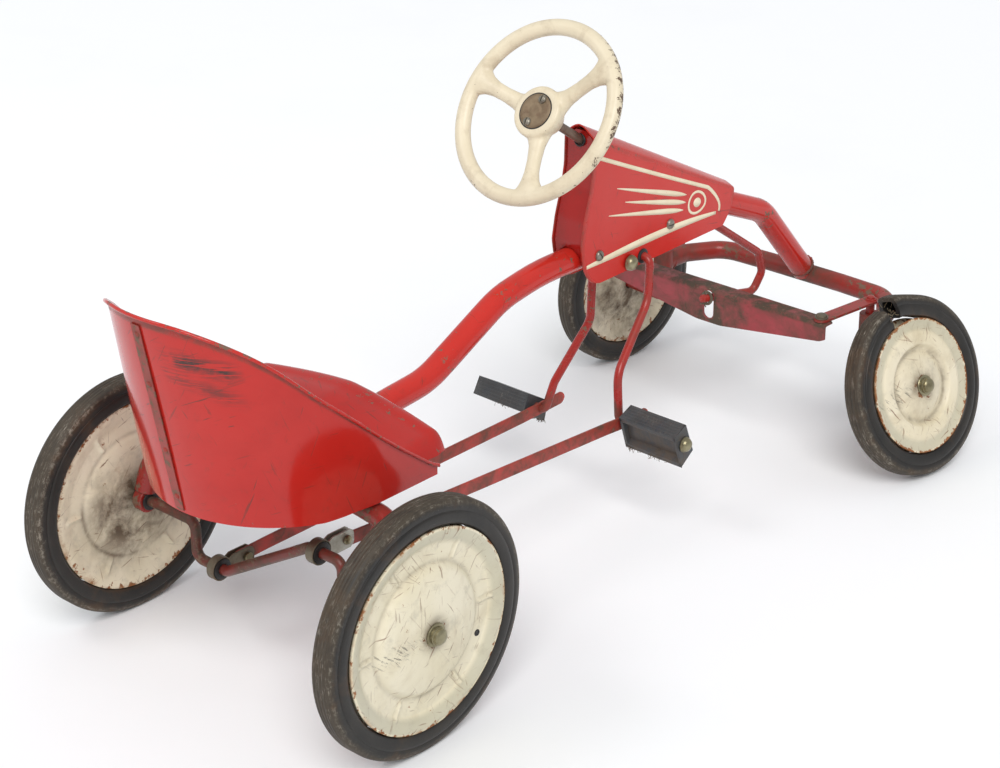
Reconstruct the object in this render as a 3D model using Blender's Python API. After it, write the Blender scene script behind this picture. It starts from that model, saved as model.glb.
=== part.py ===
"""Child's pedal car: tube frame, sheet seat and hood, crank drive, steered front wheels.

Units are metres. +Z is up, the car drives towards -Y and its right side is -X.
Shapes are worked out in a car frame (rear axle at y = 0, centre plane x = 0, floor z = 0)
and moved together at the end so that the origin is the bottom centre of the bounding box.
The rest pose is steered a little to the right, with the left crank throw down.
"""
import math

import bmesh
import bpy
import numpy as np
from mathutils import Matrix, Vector

# ---- overall sizes -------------------------------------------------------------------------
INCH = 0.0254
REAR_R = 5.0 * INCH            # ten-inch rear wheel
FRONT_R = 0.1023               # eight-inch front wheel
REAR_X = 0.2023                # rear wheel centre plane
TYRE_HALF = 0.0135
GAP = 0.0003                   # clearance left between pieces that touch or nest
MAIN_R = 0.0138                # main tube, a little over one inch across
SMALL_R = 0.4375 * INCH        # seven-eighths fork and cross tube
TUBE_WALL = 0.0016
SHEET = 0.0014

# ---- steering ------------------------------------------------------------------------------
STEER_REST = math.radians(-7.5)     # front wheels point a little to the right
COLUMN_REST = STEER_REST / 0.85       # the column turns further than the wheels
KINGPIN_X, KINGPIN_Y = 0.150, -0.800
ARM_LENGTH = 0.0827
SPINDLE_OUT = 0.0700           # kingpin to wheel centre plane
SPINDLE_R = 0.005
CAMBER_RIGHT = math.radians(18.5)
ARM_Z = 0.1800
COLUMN_R = 0.00475
COLUMN_TILT = math.radians(34.5)
COLUMN_TOP = Vector((0.0, -0.3973, 0.472))
COLUMN_AXIS = Vector((0.0, math.cos(COLUMN_TILT), math.sin(COLUMN_TILT)))
WEB_Y = -0.7080

# ---- drive ---------------------------------------------------------------------------------
CRANK_R = 0.0055
THROW = {"right": 0.031, "left": -0.040}   # height of each crank throw over the axle
THROW_X = 0.072
PIVOT_Z = 0.2780
PIVOT_Y = {"right": -0.5450, "left": -0.5210}
PEDAL_PIN = {"right": (-0.468, 0.119), "left": (-0.468, 0.098)}   # (y, z) of the pedal pins
ARM_R = 0.00475
PEDAL_ROD_X = 0.0600
PEDAL_IN, PEDAL_OUT = 0.0660, 0.1420
PEDAL_REST = {"right": 0.0, "left": math.radians(-38.0)}
BOLT_AHEAD = 0.034             # throw centre to hanger bolt

COLOURS = {
    "red_paint": ((0.52, 0.045, 0.022, 1.0), 0.35, 0.0),
    "red_paint_dark": ((0.33, 0.03, 0.02, 1.0), 0.45, 0.0),
    "cream_paint": ((0.76, 0.68, 0.50, 1.0), 0.40, 0.0),
    "cream_plastic": ((0.80, 0.72, 0.55, 1.0), 0.35, 0.0),
    "rubber": ((0.03, 0.03, 0.032, 1.0), 0.75, 0.0),
    "zinc_steel": ((0.42, 0.39, 0.31, 1.0), 0.42, 0.9),
    "brown_steel": ((0.24, 0.15, 0.10, 1.0), 0.55, 0.6),
    "black_bush": ((0.02, 0.02, 0.02, 1.0), 0.6, 0.0),
}


def clear_scene():
    for obj in list(bpy.data.objects):
        bpy.data.objects.remove(obj, do_unlink=True)


def material(name, key):
    mat = bpy.data.materials.new(name)
    mat.use_nodes = True
    colour, rough, metal = COLOURS[key]
    bsdf = mat.node_tree.nodes["Principled BSDF"]
    bsdf.inputs["Base Color"].default_value = colour
    bsdf.inputs["Roughness"].default_value = rough
    bsdf.inputs["Metallic"].default_value = metal
    mat.diffuse_color = colour
    return mat


def make(name, verts, faces, key, smooth=True):
    """Object from verts and faces, with outward normals."""
    mesh = bpy.data.meshes.new(name)
    mesh.from_pydata([tuple(v) for v in verts], [], faces)
    bm = bmesh.new()
    bm.from_mesh(mesh)
    bmesh.ops.remove_doubles(bm, verts=bm.verts, dist=1e-6)
    bmesh.ops.recalc_face_normals(bm, faces=bm.faces)
    if bm.calc_volume(signed=True) < 0:
        bmesh.ops.reverse_faces(bm, faces=bm.faces)
    bm.to_mesh(mesh)
    bm.free()
    for poly in mesh.polygons:
        poly.use_smooth = smooth
    obj = bpy.data.objects.new(name, mesh)
    bpy.context.scene.collection.objects.link(obj)
    mesh.materials.append(material("mat_" + name, key))
    return obj


def transform(obj, matrix):
    obj.data.transform(matrix)
    if matrix.determinant() < 0:
        obj.data.flip_normals()
    return obj


# ---- path tools ----------------------------------------------------------------------------
def bent_path(points, radius, step=math.radians(18)):
    """Round the inner corners of a polyline with arcs."""
    pts = [Vector(p) for p in points]
    out = [pts[0]]
    for i in range(1, len(pts) - 1):
        a, b, c = pts[i - 1], pts[i], pts[i + 1]
        u, v = (a - b).normalized(), (c - b).normalized()
        turn = math.pi - u.angle(v)
        if turn < 0.02:
            out.append(b)
            continue
        rad = radius[i - 1] if isinstance(radius, (list, tuple)) else radius
        cut = rad * math.tan(turn / 2)
        limit = 0.49 * min((a - b).length, (c - b).length)
        if cut > limit:
            cut = limit
            rad = cut / math.tan(turn / 2)
        centre = b + (u + v).normalized() * (rad / math.cos(turn / 2))
        start = b + u * cut - centre
        axis = start.cross(b + v * cut - centre).normalized()
        count = max(2, round(turn / step))
        for k in range(count + 1):
            out.append(centre + Matrix.Rotation(turn * k / count, 4, axis) @ start)
    out.append(pts[-1])
    return out


def frames(path, up):
    """Rotation-minimising frames along a path."""
    tangents = []
    for i in range(len(path)):
        a = path[max(i - 1, 0)]
        b = path[min(i + 1, len(path) - 1)]
        if 0 < i < len(path) - 1:
            t = (path[i] - a).normalized() + (b - path[i]).normalized()
        else:
            t = b - a
        tangents.append(t.normalized())
    side = tangents[0].cross(Vector(up)).normalized()
    result = []
    for i, t in enumerate(tangents):
        side = (side - t * side.dot(t)).normalized()
        result.append((t, side, side.cross(t).normalized()))
    return result


def rings(path, section, up):
    rows = []
    for i, (t, side, lift) in enumerate(frames(path, up)):
        scale = 1.0
        if 0 < i < len(path) - 1:
            half = (path[i] - path[i - 1]).angle(path[i + 1] - path[i], 0.0) / 2
            scale = 1.0 / max(math.cos(half), 0.5)
        bend = Vector((0, 0, 0))
        if 0 < i < len(path) - 1:
            bend = (path[i + 1] - path[i]).normalized() - (path[i] - path[i - 1]).normalized()
            bend = bend.normalized() if bend.length > 1e-6 else Vector((0, 0, 0))
        row = []
        for a, b in section:
            offset = side * a + lift * b
            offset += bend * offset.dot(bend) * (scale - 1.0)
            row.append(path[i] + offset)
        rows.append(row)
    return rows


def strip_faces(start_a, start_b, n, flip=False):
    faces = []
    for k in range(n):
        j = (k + 1) % n
        quad = (start_a + k, start_a + j, start_b + j, start_b + k)
        faces.append(quad[::-1] if flip else quad)
    return faces


def circle(r, n, phase=0.0):
    return [(r * math.cos(2 * math.pi * k / n + phase), r * math.sin(2 * math.pi * k / n + phase))
            for k in range(n)]


def rod(name, path, section, key, up=(0, 0, 1), smooth=True):
    """Solid bar of any section swept along a path, with flat ends."""
    n = len(section)
    rows = rings(path, section, up)
    verts = [v for row in rows for v in row]
    faces = []
    for i in range(len(rows) - 1):
        faces += strip_faces(i * n, (i + 1) * n, n)
    faces += [tuple(range(n))[::-1], tuple(range((len(rows) - 1) * n, len(rows) * n))]
    return make(name, verts, faces, key, smooth)


def pipe(name, path, radius, wall, n, key, up=(0, 0, 1)):
    """Hollow tube with open ends."""
    outer = rings(path, circle(radius, n), up)
    inner = rings(path, circle(radius - wall, n), up)
    verts = [v for row in outer + inner for v in row]
    m, faces = len(path), []
    for i in range(m - 1):
        faces += strip_faces(i * n, (i + 1) * n, n)
        faces += strip_faces((m + i) * n, (m + i + 1) * n, n, flip=True)
    faces += strip_faces(0, m * n, n, flip=True)
    faces += strip_faces((m - 1) * n, (2 * m - 1) * n, n)
    return make(name, verts, faces, key)


def lathe(name, profile, n, key, matrix=None, phase=0.0):
    """Revolve a closed (along, radius) profile about the local X axis."""
    verts, index, faces = [], [], []
    for a, r in profile:
        if r < 1e-7:
            index.append([len(verts)] * n)
            verts.append((a, 0.0, 0.0))
        else:
            index.append(list(range(len(verts), len(verts) + n)))
            verts += [(a, r * math.cos(2 * math.pi * k / n + phase), r * math.sin(2 * math.pi * k / n + phase))
                      for k in range(n)]
    m = len(profile)
    for i in range(m):
        p, q = index[i], index[(i + 1) % m]
        for k in range(n):
            j = (k + 1) % n
            quad = []
            for v in (p[k], p[j], q[j], q[k]):
                if v not in quad:
                    quad.append(v)
            if len(quad) > 2:
                faces.append(tuple(quad))
    obj = make(name, verts, faces, key)
    return transform(obj, matrix) if matrix else obj


def prism(name, outline, x0, x1, key, smooth=False):
    """Extrude a (y, z) outline from x0 to x1."""
    n = len(outline)
    verts = [(x0, y, z) for y, z in outline] + [(x1, y, z) for y, z in outline]
    faces = strip_faces(0, n, n) + [tuple(range(n))[::-1], tuple(range(n, 2 * n))]
    return make(name, verts, faces, key, smooth)


def cylinder(name, start, end, r, n, key="zinc_steel"):
    path = [Vector(start), Vector(end)]
    up = (0, 0, 1) if abs((path[1] - path[0]).normalized().z) < 0.9 else (0, 1, 0)
    return rod(name, path, circle(r, n), key, up)


def box(name, lo, hi, key="zinc_steel"):
    x0, y0, z0 = lo
    x1, y1, z1 = hi
    return prism(name, [(y0, z0), (y1, z0), (y1, z1), (y0, z1)], x0, x1, key)


def combine(obj, tool, operation):
    """Apply one exact boolean and drop the tool."""
    mod = obj.modifiers.new("combine", "BOOLEAN")
    mod.operation = operation
    mod.solver = "EXACT"
    mod.object = tool
    graph = bpy.context.evaluated_depsgraph_get()
    mesh = bpy.data.meshes.new_from_object(obj.evaluated_get(graph))
    obj.modifiers.clear()
    mats = list(obj.data.materials)
    obj.data = mesh
    obj.data.materials.clear()
    obj.data.materials.append(mats[0])
    for poly in mesh.polygons:
        poly.material_index = 0
    bm = bmesh.new()
    bm.from_mesh(mesh)
    bmesh.ops.remove_doubles(bm, verts=bm.verts, dist=2e-6)
    bmesh.ops.dissolve_degenerate(bm, edges=bm.edges, dist=2e-6)
    bm.to_mesh(mesh)
    bm.free()
    bpy.data.objects.remove(tool, do_unlink=True)
    return obj


def cut(obj, tool):
    return combine(obj, tool, "DIFFERENCE")


def fuse(obj, tool):
    return combine(obj, tool, "UNION")


def outward_matrix(centre, direction):
    """Matrix taking local +X to an outward direction at a centre."""
    x = Vector(direction).normalized()
    z = Vector((0, 0, 1))
    y = z.cross(x).normalized()
    z = x.cross(y)
    mat = Matrix((x, y, z)).transposed().to_4x4()
    return Matrix.Translation(centre) @ mat


def turn_about(point, axis, angle):
    return Matrix.Translation(point) @ Matrix.Rotation(angle, 4, Vector(axis)) @ Matrix.Translation(-Vector(point))


# ---- placed frames for steered pieces ------------------------------------------------------
KINGPIN = {"right": Vector((-KINGPIN_X, KINGPIN_Y, 0)), "left": Vector((KINGPIN_X, KINGPIN_Y, 0))}
STEER = {side: turn_about(KINGPIN[side], (0, 0, 1), STEER_REST) for side in KINGPIN}
TIE_MOVE = Matrix.Translation(Vector((-ARM_LENGTH * math.sin(STEER_REST), 0, 0)))
COLUMN_TURN = turn_about(COLUMN_TOP, COLUMN_AXIS, COLUMN_REST)
CAMBER = {"right": CAMBER_RIGHT, "left": 0.0}


def tyre_profile(radius, rim):
    half = TYRE_HALF
    side = [(0.0100, rim), (half, rim + 0.0080), (0.0122, radius - 0.0048), (0.0072, radius)]
    return side + [(-a, r) for a, r in reversed(side)]


REAR_RIM = 0.797 * REAR_R
FRONT_RIM = 0.0766
REAR_TYRE = tyre_profile(REAR_R, REAR_RIM + GAP)
FRONT_TYRE = tyre_profile(FRONT_R, FRONT_RIM + GAP)


def lowest(profile, camber):
    """Distance from the wheel centre down to the lowest tyre point."""
    return max(r * math.cos(camber) + a * math.sin(camber) for a, r in profile)


def front_centre(side):
    sign = -1 if side == "right" else 1
    height = lowest(FRONT_TYRE, CAMBER[side])
    local = Vector((sign * (KINGPIN_X + SPINDLE_OUT), KINGPIN_Y, height))
    direction = Vector((sign * math.cos(CAMBER[side]), 0, math.sin(CAMBER[side])))
    return local, direction


# ---- frame ---------------------------------------------------------------------------------
def build_frame():
    main_points = [(0, -0.045, 0.2105), (0, -0.165, 0.2300), (0, -0.225, 0.2350), (0, -0.335, 0.2890),
                   (0, -0.395, 0.2985), (0, -0.690, 0.2985), (0, -0.790, 0.2560), (0, -0.885, 0.1500)]
    path = bent_path(main_points, [0.30, 0.10, 0.12, 0.30, 0.10, 0.07], math.radians(16))
    path[0] = Vector((0, -0.030, 0.2082))
    tube = pipe("main_tube", path, MAIN_R, TUBE_WALL, 10, "red_paint", up=(1, 0, 0))
    cut(tube, cylinder("cope_rear", (-0.03, -0.030, 0.2070), (0.03, -0.030, 0.2070), SMALL_R + GAP, 16))
    cut(tube, cylinder("cope_front", (-0.03, -0.885, 0.1500), (0.03, -0.885, 0.1500), SMALL_R + GAP, 16))
    cut(tube, box("trim_rear", (-0.03, -0.0305, 0.18), (0.03, 0.02, 0.24)))
    cut(tube, box("trim_front", (-0.03, -0.95, 0.12), (0.03, -0.8852, 0.18)))
    cut(tube, box("trim_low", (-0.03, -0.93, 0.120), (0.03, -0.86, 0.1499)))
    cut(tube, cylinder("column_hole", COLUMN_TOP - COLUMN_AXIS * 0.25, COLUMN_TOP - COLUMN_AXIS * 0.36,
                       COLUMN_R + 0.0012, 12))

    half = [(0.178, 0.0, 0.137), (0.174, -0.007, 0.168), (0.146, -0.026, 0.203), (0.09, -0.030, 0.207)]
    points = [(-x, y, z) for x, y, z in half] + half[::-1]
    path = bent_path(points, [0.10, 0.045, 0.30, 0.30, 0.045, 0.10], math.radians(26))
    fork = pipe("rear_fork_tube", path, SMALL_R, TUBE_WALL, 10, "red_paint_dark", up=(0, 1, 0))
    for sign in (-1, 1):
        fuse(fork, cylinder("eye", (sign * 0.1725, 0, REAR_R), (sign * 0.1845, 0, REAR_R), 0.0132, 16))
        cut(fork, cylinder("bore", (sign * 0.165, 0, REAR_R), (sign * 0.19, 0, REAR_R), 0.0078, 16))
        cut(fork, cylinder("seat", (sign * 0.160, 0, REAR_R), (sign * 0.1724, 0, REAR_R), 0.0106, 16))
    cut(fork, cylinder("vent", (0, -0.030, 0.190), (0, -0.030, 0.203), 0.0025, 8))

    half = [(KINGPIN_X, KINGPIN_Y - 0.002, 0.149), (KINGPIN_X - 0.003, -0.838, 0.150),
            (0.118, -0.882, 0.150), (0.05, -0.885, 0.150)]
    points = [(-x, y, z) for x, y, z in half] + half[::-1]
    path = bent_path(points, [0.03, 0.035, 0.30, 0.30, 0.035, 0.03], math.radians(30))
    cross = pipe("front_cross_tube", path, SMALL_R, TUBE_WALL, 10, "red_paint_dark", up=(0, 0, 1))
    for side, pin in KINGPIN.items():
        fuse(cross, cylinder("sleeve", (pin.x, pin.y, 0.1240), (pin.x, pin.y, 0.1660), 0.0118, 14))
        cut(cross, cylinder("bore", (pin.x, pin.y, 0.110), (pin.x, pin.y, 0.180), SPINDLE_R + 0.0004, 12))
    cut(cross, cylinder("vent", (0.04, -0.885, 0.130), (0.04, -0.885, 0.146), 0.0025, 8))

    bush = [(0.1700, CRANK_R + GAP), (0.1700, 0.0100), (0.1719, 0.0100), (0.1719, 0.0075),
            (0.1855, 0.0075), (0.1855, CRANK_R + GAP)]
    for side, sign in (("right", -1), ("left", 1)):
        lathe("axle_bush_" + side, bush, 14, "black_bush", outward_matrix((0, 0, REAR_R), (sign, 0, 0)))


# ---- seat ----------------------------------------------------------------------------------
SEAT_BACK_Y = 0.1005
SEAT_RADIUS = 0.130
SEAT_FRONT_Y = -0.102


def seat_outline(count_arc=14, count_side=3):
    """Points of the seat wall's bottom edge, right front round the back to left front."""
    centre = SEAT_BACK_Y - SEAT_RADIUS
    pts = [(-SEAT_RADIUS, SEAT_FRONT_Y + (centre - SEAT_FRONT_Y) * i / count_side) for i in range(count_side)]
    pts += [(-SEAT_RADIUS * math.cos(a), centre + SEAT_RADIUS * math.sin(a))
            for a in np.linspace(0, math.pi, count_arc + 1)]
    pts += [(SEAT_RADIUS, SEAT_FRONT_Y + (centre - SEAT_FRONT_Y) * i / count_side)
            for i in range(count_side - 1, -1, -1)]
    return pts


def seat_bottom(y):
    """Height of the wall's bottom edge: low at the back, clear of the fork tube at the sides."""
    return float(np.interp(y, [-0.102, 0.000, 0.030, 0.100], [0.2198, 0.2198, 0.2158, 0.2150]))


def rim_height(y):
    """Height of the seat rim above the floor at distance y."""
    ys = [-0.102, -0.050, -0.005, 0.045, 0.080, 0.100, 0.125, 0.1395]
    zs = [0.2285, 0.2680, 0.3050, 0.3470, 0.3830, 0.4000, 0.4180, 0.4255]
    return float(np.interp(y, ys, zs))


def seat_wall_point(x, y, level):
    """Point of the leaning wall: level 0 is the bottom edge, 1 the rim."""
    centre = SEAT_BACK_Y - SEAT_RADIUS
    back = max(0.0, y - centre) / SEAT_RADIUS
    rim = rim_height(y + 0.0390 * back ** 1.5)
    low = seat_bottom(y)
    z = low + level * (rim - low)
    lean = (z - low) / 0.2100
    return Vector((x * (1 + 0.05 * lean + 0.025 * lean ** 2), y + 0.0390 * back ** 1.5 * lean, z))


def build_seat():
    outline = seat_outline()
    rows, levels = [], (0.0, 0.25, 0.5, 0.75, 1.0)
    bead = 0.0024
    for i, (x, y) in enumerate(outline):
        a, b = outline[max(i - 1, 0)], outline[min(i + 1, len(outline) - 1)]
        tangent = Vector((b[0] - a[0], b[1] - a[1], 0)).normalized()
        out = Vector((-tangent.y, tangent.x, 0))
        if out.dot(Vector((x, y - (SEAT_BACK_Y - SEAT_RADIUS), 0))) < 0:
            out = -out
        pts = [seat_wall_point(x, y, lv) for lv in levels]
        up = (pts[-1] - pts[-2]).normalized() if (pts[-1] - pts[-2]).length > 1e-6 else Vector((0, 0, 1))
        section = [p + out * SHEET / 2 for p in pts[:-1]]
        top = pts[-1] - up * bead
        section += [top + out * (SHEET / 2), top + out * (bead * 1.7) - up * bead * 0.2,
                    top + out * (bead * 2.0) + up * bead * 0.8, top + out * (bead * 0.9) + up * bead * 1.7,
                    top - out * (SHEET / 2) + up * bead * 1.0]
        section += [p - out * SHEET / 2 for p in reversed(pts[:-1])]
        rows.append(section)
    n = len(rows[0])
    verts = [v for row in rows for v in row]
    faces = []
    for i in range(len(rows) - 1):
        faces += strip_faces(i * n, (i + 1) * n, n)
    faces += [tuple(range(n))[::-1], tuple(range((len(rows) - 1) * n, len(rows) * n))]
    make("seat_shell", verts, faces, "red_paint")

    strip_w, t = 0.0055, 0.0011
    low, high = seat_wall_point(0, SEAT_BACK_Y, 0.02), seat_wall_point(0, SEAT_BACK_Y, 0.955)
    out = Vector((0, (high - low).z, -(high - low).y)).normalized()
    verts = []
    for p in (low, high):
        base = p + out * (SHEET / 2 + GAP)
        verts += [base + Vector((-strip_w, 0, 0)), base + Vector((strip_w, 0, 0)),
                  base + Vector((strip_w, 0, 0)) + out * t, base + Vector((-strip_w, 0, 0)) + out * t]
    make("seat_seam_strip", verts, [(0, 1, 2, 3), (7, 6, 5, 4)] + strip_faces(0, 4, 4), "red_paint_dark", False)

    build_pan()


def pan_height(x, y):
    """Height of the seat pan's top surface."""
    u = min(abs(x) / 0.115, 1.0)
    front = 0.2685 - 0.0135 * u ** 1.3
    dish = 0.2395 + 0.010 * max(0.0, (abs(x) - 0.085) / 0.045) ** 2 + 0.006 * math.exp(-(x / 0.02) ** 2)
    blend = min(max((-0.010 - y) / 0.095, 0.0), 1.0)
    blend = blend * blend * (3 - 2 * blend)
    corner = 0.018 * (max(0.0, abs(x) - 0.104) / 0.024) ** 2
    return dish + (front - corner - dish) * blend


def build_pan():
    centre = SEAT_BACK_Y - SEAT_RADIUS
    ys = [0.088, 0.070, 0.030, -0.010, -0.040, -0.072, -0.104]
    across = np.linspace(-1, 1, 13)
    grid = []
    for y in ys:
        inner = SEAT_RADIUS * (1 + 0.05 * 0.12) - SHEET / 2 - 0.0012
        half = math.sqrt(max(inner ** 2 - max(y - centre, 0.0) ** 2, 1e-6))
        grid.append([Vector((half * s, y, pan_height(half * s, y))) for s in across])
    last = [v.copy() for v in grid[-1]]
    for push, drop in ((0.006, 0.0015), (0.0112, 0.0070), (0.0125, 0.0190)):
        row = []
        for v in last:
            bow = 0.006 * (1 - (v.x / 0.13) ** 2)
            row.append(Vector((v.x, v.y - push - bow, v.z - drop)))
        grid.append(row)
    rows, cols = len(grid), len(grid[0])
    normals = [[None] * cols for _ in range(rows)]
    for i in range(rows):
        for j in range(cols):
            du = grid[i][min(j + 1, cols - 1)] - grid[i][max(j - 1, 0)]
            dv = grid[min(i + 1, rows - 1)][j] - grid[max(i - 1, 0)][j]
            normals[i][j] = dv.cross(du).normalized()
            if normals[i][j].z < -0.3:
                normals[i][j] = -normals[i][j]
    top = [grid[i][j] for i in range(rows) for j in range(cols)]
    bottom = [grid[i][j] - normals[i][j] * SHEET for i in range(rows) for j in range(cols)]
    n = rows * cols
    faces = []
    for i in range(rows - 1):
        for j in range(cols - 1):
            a, b, c, d = i * cols + j, i * cols + j + 1, (i + 1) * cols + j + 1, (i + 1) * cols + j
            faces += [(a, b, c, d), (n + d, n + c, n + b, n + a)]
    edge = [j for j in range(cols)] + [i * cols + cols - 1 for i in range(1, rows)]
    edge += [(rows - 1) * cols + j for j in range(cols - 2, -1, -1)] + [i * cols for i in range(rows - 2, 0, -1)]
    for k in range(len(edge)):
        a, b = edge[k], edge[(k + 1) % len(edge)]
        faces.append((a, b, n + b, n + a))
    make("seat_pan", top + bottom, faces, "red_paint")


# ---- hood ----------------------------------------------------------------------------------
HOOD_REAR_Y, HOOD_FRONT_Y = -0.4600, -0.7115
HOOD_W_REAR, HOOD_W_FRONT = 0.0195, 0.0160


def along_hood(y):
    """0 at the hood's rear top corner, 1 at its nose."""
    return (y - HOOD_REAR_Y) / (HOOD_FRONT_Y - HOOD_REAR_Y)


def hood_width(y):
    return HOOD_W_REAR + (HOOD_W_FRONT - HOOD_W_REAR) * along_hood(y)


def hood_fold(y):
    return 0.4315 - 0.1230 * along_hood(y)


def hood_ridge(y):
    return hood_fold(y) + 0.0130 - 0.0060 * along_hood(y)


def hood_bottom(y):
    ys = [-0.7115, -0.7000, -0.6900, -0.6757, -0.6345, -0.4890, -0.4665, -0.4530, -0.4440]
    zs = [0.2980, 0.2810, 0.2715, 0.2675, 0.2685, 0.2672, 0.2717, 0.2828, 0.2946]
    return float(np.interp(y, ys, zs))


def rear_edge(z):
    """y of the side panel's rear edge at height z."""
    return float(np.interp(z, [0.2675, 0.2717, 0.2828, 0.2946, 0.3185, 0.3449, 0.3755, 0.3985, 0.4315],
                           [-0.4720, -0.4665, -0.4530, -0.4440, -0.4400, -0.4450, -0.4545, -0.4590, -0.4600]))


def build_hood():
    """Folded sheet: flat sides, two sloping top leaves and a soft ridge."""
    rows = []
    for s in (0.0, 0.10, 0.35, 0.65, 0.88, 1.0):
        y_top = HOOD_REAR_Y + (HOOD_FRONT_Y - HOOD_REAR_Y) * s
        halves = []
        for side in (-1, 1):
            part = []
            for level in (0.0, 0.12, 0.32, 0.62, 1.0):
                z_rear = 0.2675 + (0.4315 - 0.2675) * level
                z_nose = 0.2700 + (0.3085 - 0.2700) * level
                start = rear_edge(z_rear)
                stop = -0.6910 + (HOOD_FRONT_Y + 0.6910) * math.sin(0.5 * math.pi * level) ** 0.8
                y = start + (stop - start) * s
                z = z_rear + (z_nose - z_rear) * s
                part.append(Vector((side * hood_width(y), y, z)))
            width = hood_width(y_top)
            part.append(Vector((side * width * 0.90, y_top, hood_fold(y_top) + 0.0030)))
            part.append(Vector((side * width * 0.40, y_top, hood_ridge(y_top) - 0.0020)))
            halves.append(part)
        rows.append(halves[0] + [Vector((0, y_top, hood_ridge(y_top)))] + halves[1][::-1])
    thick_sheet("hood_cover", rows, SHEET, "red_paint")
    cover = bpy.data.objects["hood_cover"]
    for y in PIVOT_Y.values():
        cut(cover, cylinder("pivot_hole", (-0.06, y, PIVOT_Z), (0.06, y, PIVOT_Z), ARM_R + 0.0006, 12))

    inset = 0.0028
    halves = []
    for side in (-1, 1):
        pts = []
        for z in (0.3000, 0.3185, 0.3449, 0.3755, 0.4100):
            y = rear_edge(z) - inset
            pts.append(Vector((side * (hood_width(y) - SHEET / 2 - 0.0010), y, z)))
        y = HOOD_REAR_Y - inset
        pts.append(Vector((side * (hood_width(y) - SHEET / 2 - 0.0012), y, hood_fold(y) - 0.0005)))
        pts.append(Vector((side * hood_width(y) * 0.36, y, hood_ridge(y) - 0.0048)))
        halves.append(pts)
    rows = [[a, a.lerp(b, 0.5), b] for a, b in zip(*halves)]
    thick_sheet("hood_rear_panel", rows, SHEET, "red_paint")
    panel = bpy.data.objects["hood_rear_panel"]
    cut(panel, cylinder("arch", (0, -0.50, 0.2982), (0, -0.38, 0.2982), MAIN_R + 0.0012, 24))
    hole = COLUMN_TOP - COLUMN_AXIS * 0.078
    cut(panel, cylinder("column_hole", hole + COLUMN_AXIS * 0.03, hole - COLUMN_AXIS * 0.03, COLUMN_R + 0.0012, 16))

    screw = [(-0.0030, 0.0), (-0.0030, 0.0020), (GAP, 0.0020), (GAP, 0.0056), (0.0016, 0.0052), (0.0028, 0.0032),
             (0.0031, 0.0)]
    slope = (HOOD_W_FRONT - HOOD_W_REAR) / (HOOD_FRONT_Y - HOOD_REAR_Y)
    for side, sign in (("right", -1), ("left", 1)):
        normal = Vector((sign, -slope, 0)).normalized()
        for k, (y, z) in enumerate(((-0.4700, 0.3010), (-0.5930, 0.3010))):
            surface = Vector((sign * hood_width(y), y, z)) + normal * SHEET / 2
            cut(cover, cylinder("screw_hole", surface - normal * 0.01, surface + normal * 0.01, 0.0020 + GAP, 8))
            lathe(f"hood_screw_{side}_{k + 1}", screw, 8, "zinc_steel", outward_matrix(surface, normal))


def thick_sheet(name, rows, thickness, key):
    """Sheet of even thickness centred on a grid of points."""
    m, n = len(rows), len(rows[0])
    front, back = [], []
    for i in range(m):
        for j in range(n):
            du = rows[i][min(j + 1, n - 1)] - rows[i][max(j - 1, 0)]
            dv = rows[min(i + 1, m - 1)][j] - rows[max(i - 1, 0)][j]
            normal = du.cross(dv).normalized()
            front.append(rows[i][j] + normal * thickness / 2)
            back.append(rows[i][j] - normal * thickness / 2)
    total = m * n
    faces = []
    for i in range(m - 1):
        for j in range(n - 1):
            a, b, c, d = i * n + j, i * n + j + 1, (i + 1) * n + j + 1, (i + 1) * n + j
            faces += [(a, b, c, d), (total + d, total + c, total + b, total + a)]
    edge = list(range(n)) + [i * n + n - 1 for i in range(1, m)]
    edge += [(m - 1) * n + j for j in range(n - 2, -1, -1)] + [i * n for i in range(m - 2, 0, -1)]
    for k in range(len(edge)):
        a, b = edge[k], edge[(k + 1) % len(edge)]
        faces.append((a, b, total + b, total + a))
    return make(name, front + back, faces, key, smooth=False)


# ---- steering ------------------------------------------------------------------------------
WHEEL_RIM_R, WHEEL_TUBE_R = 0.0915, 0.0088
SPOKE_ANGLES = (2.0, 128.0, 242.0)


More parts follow.
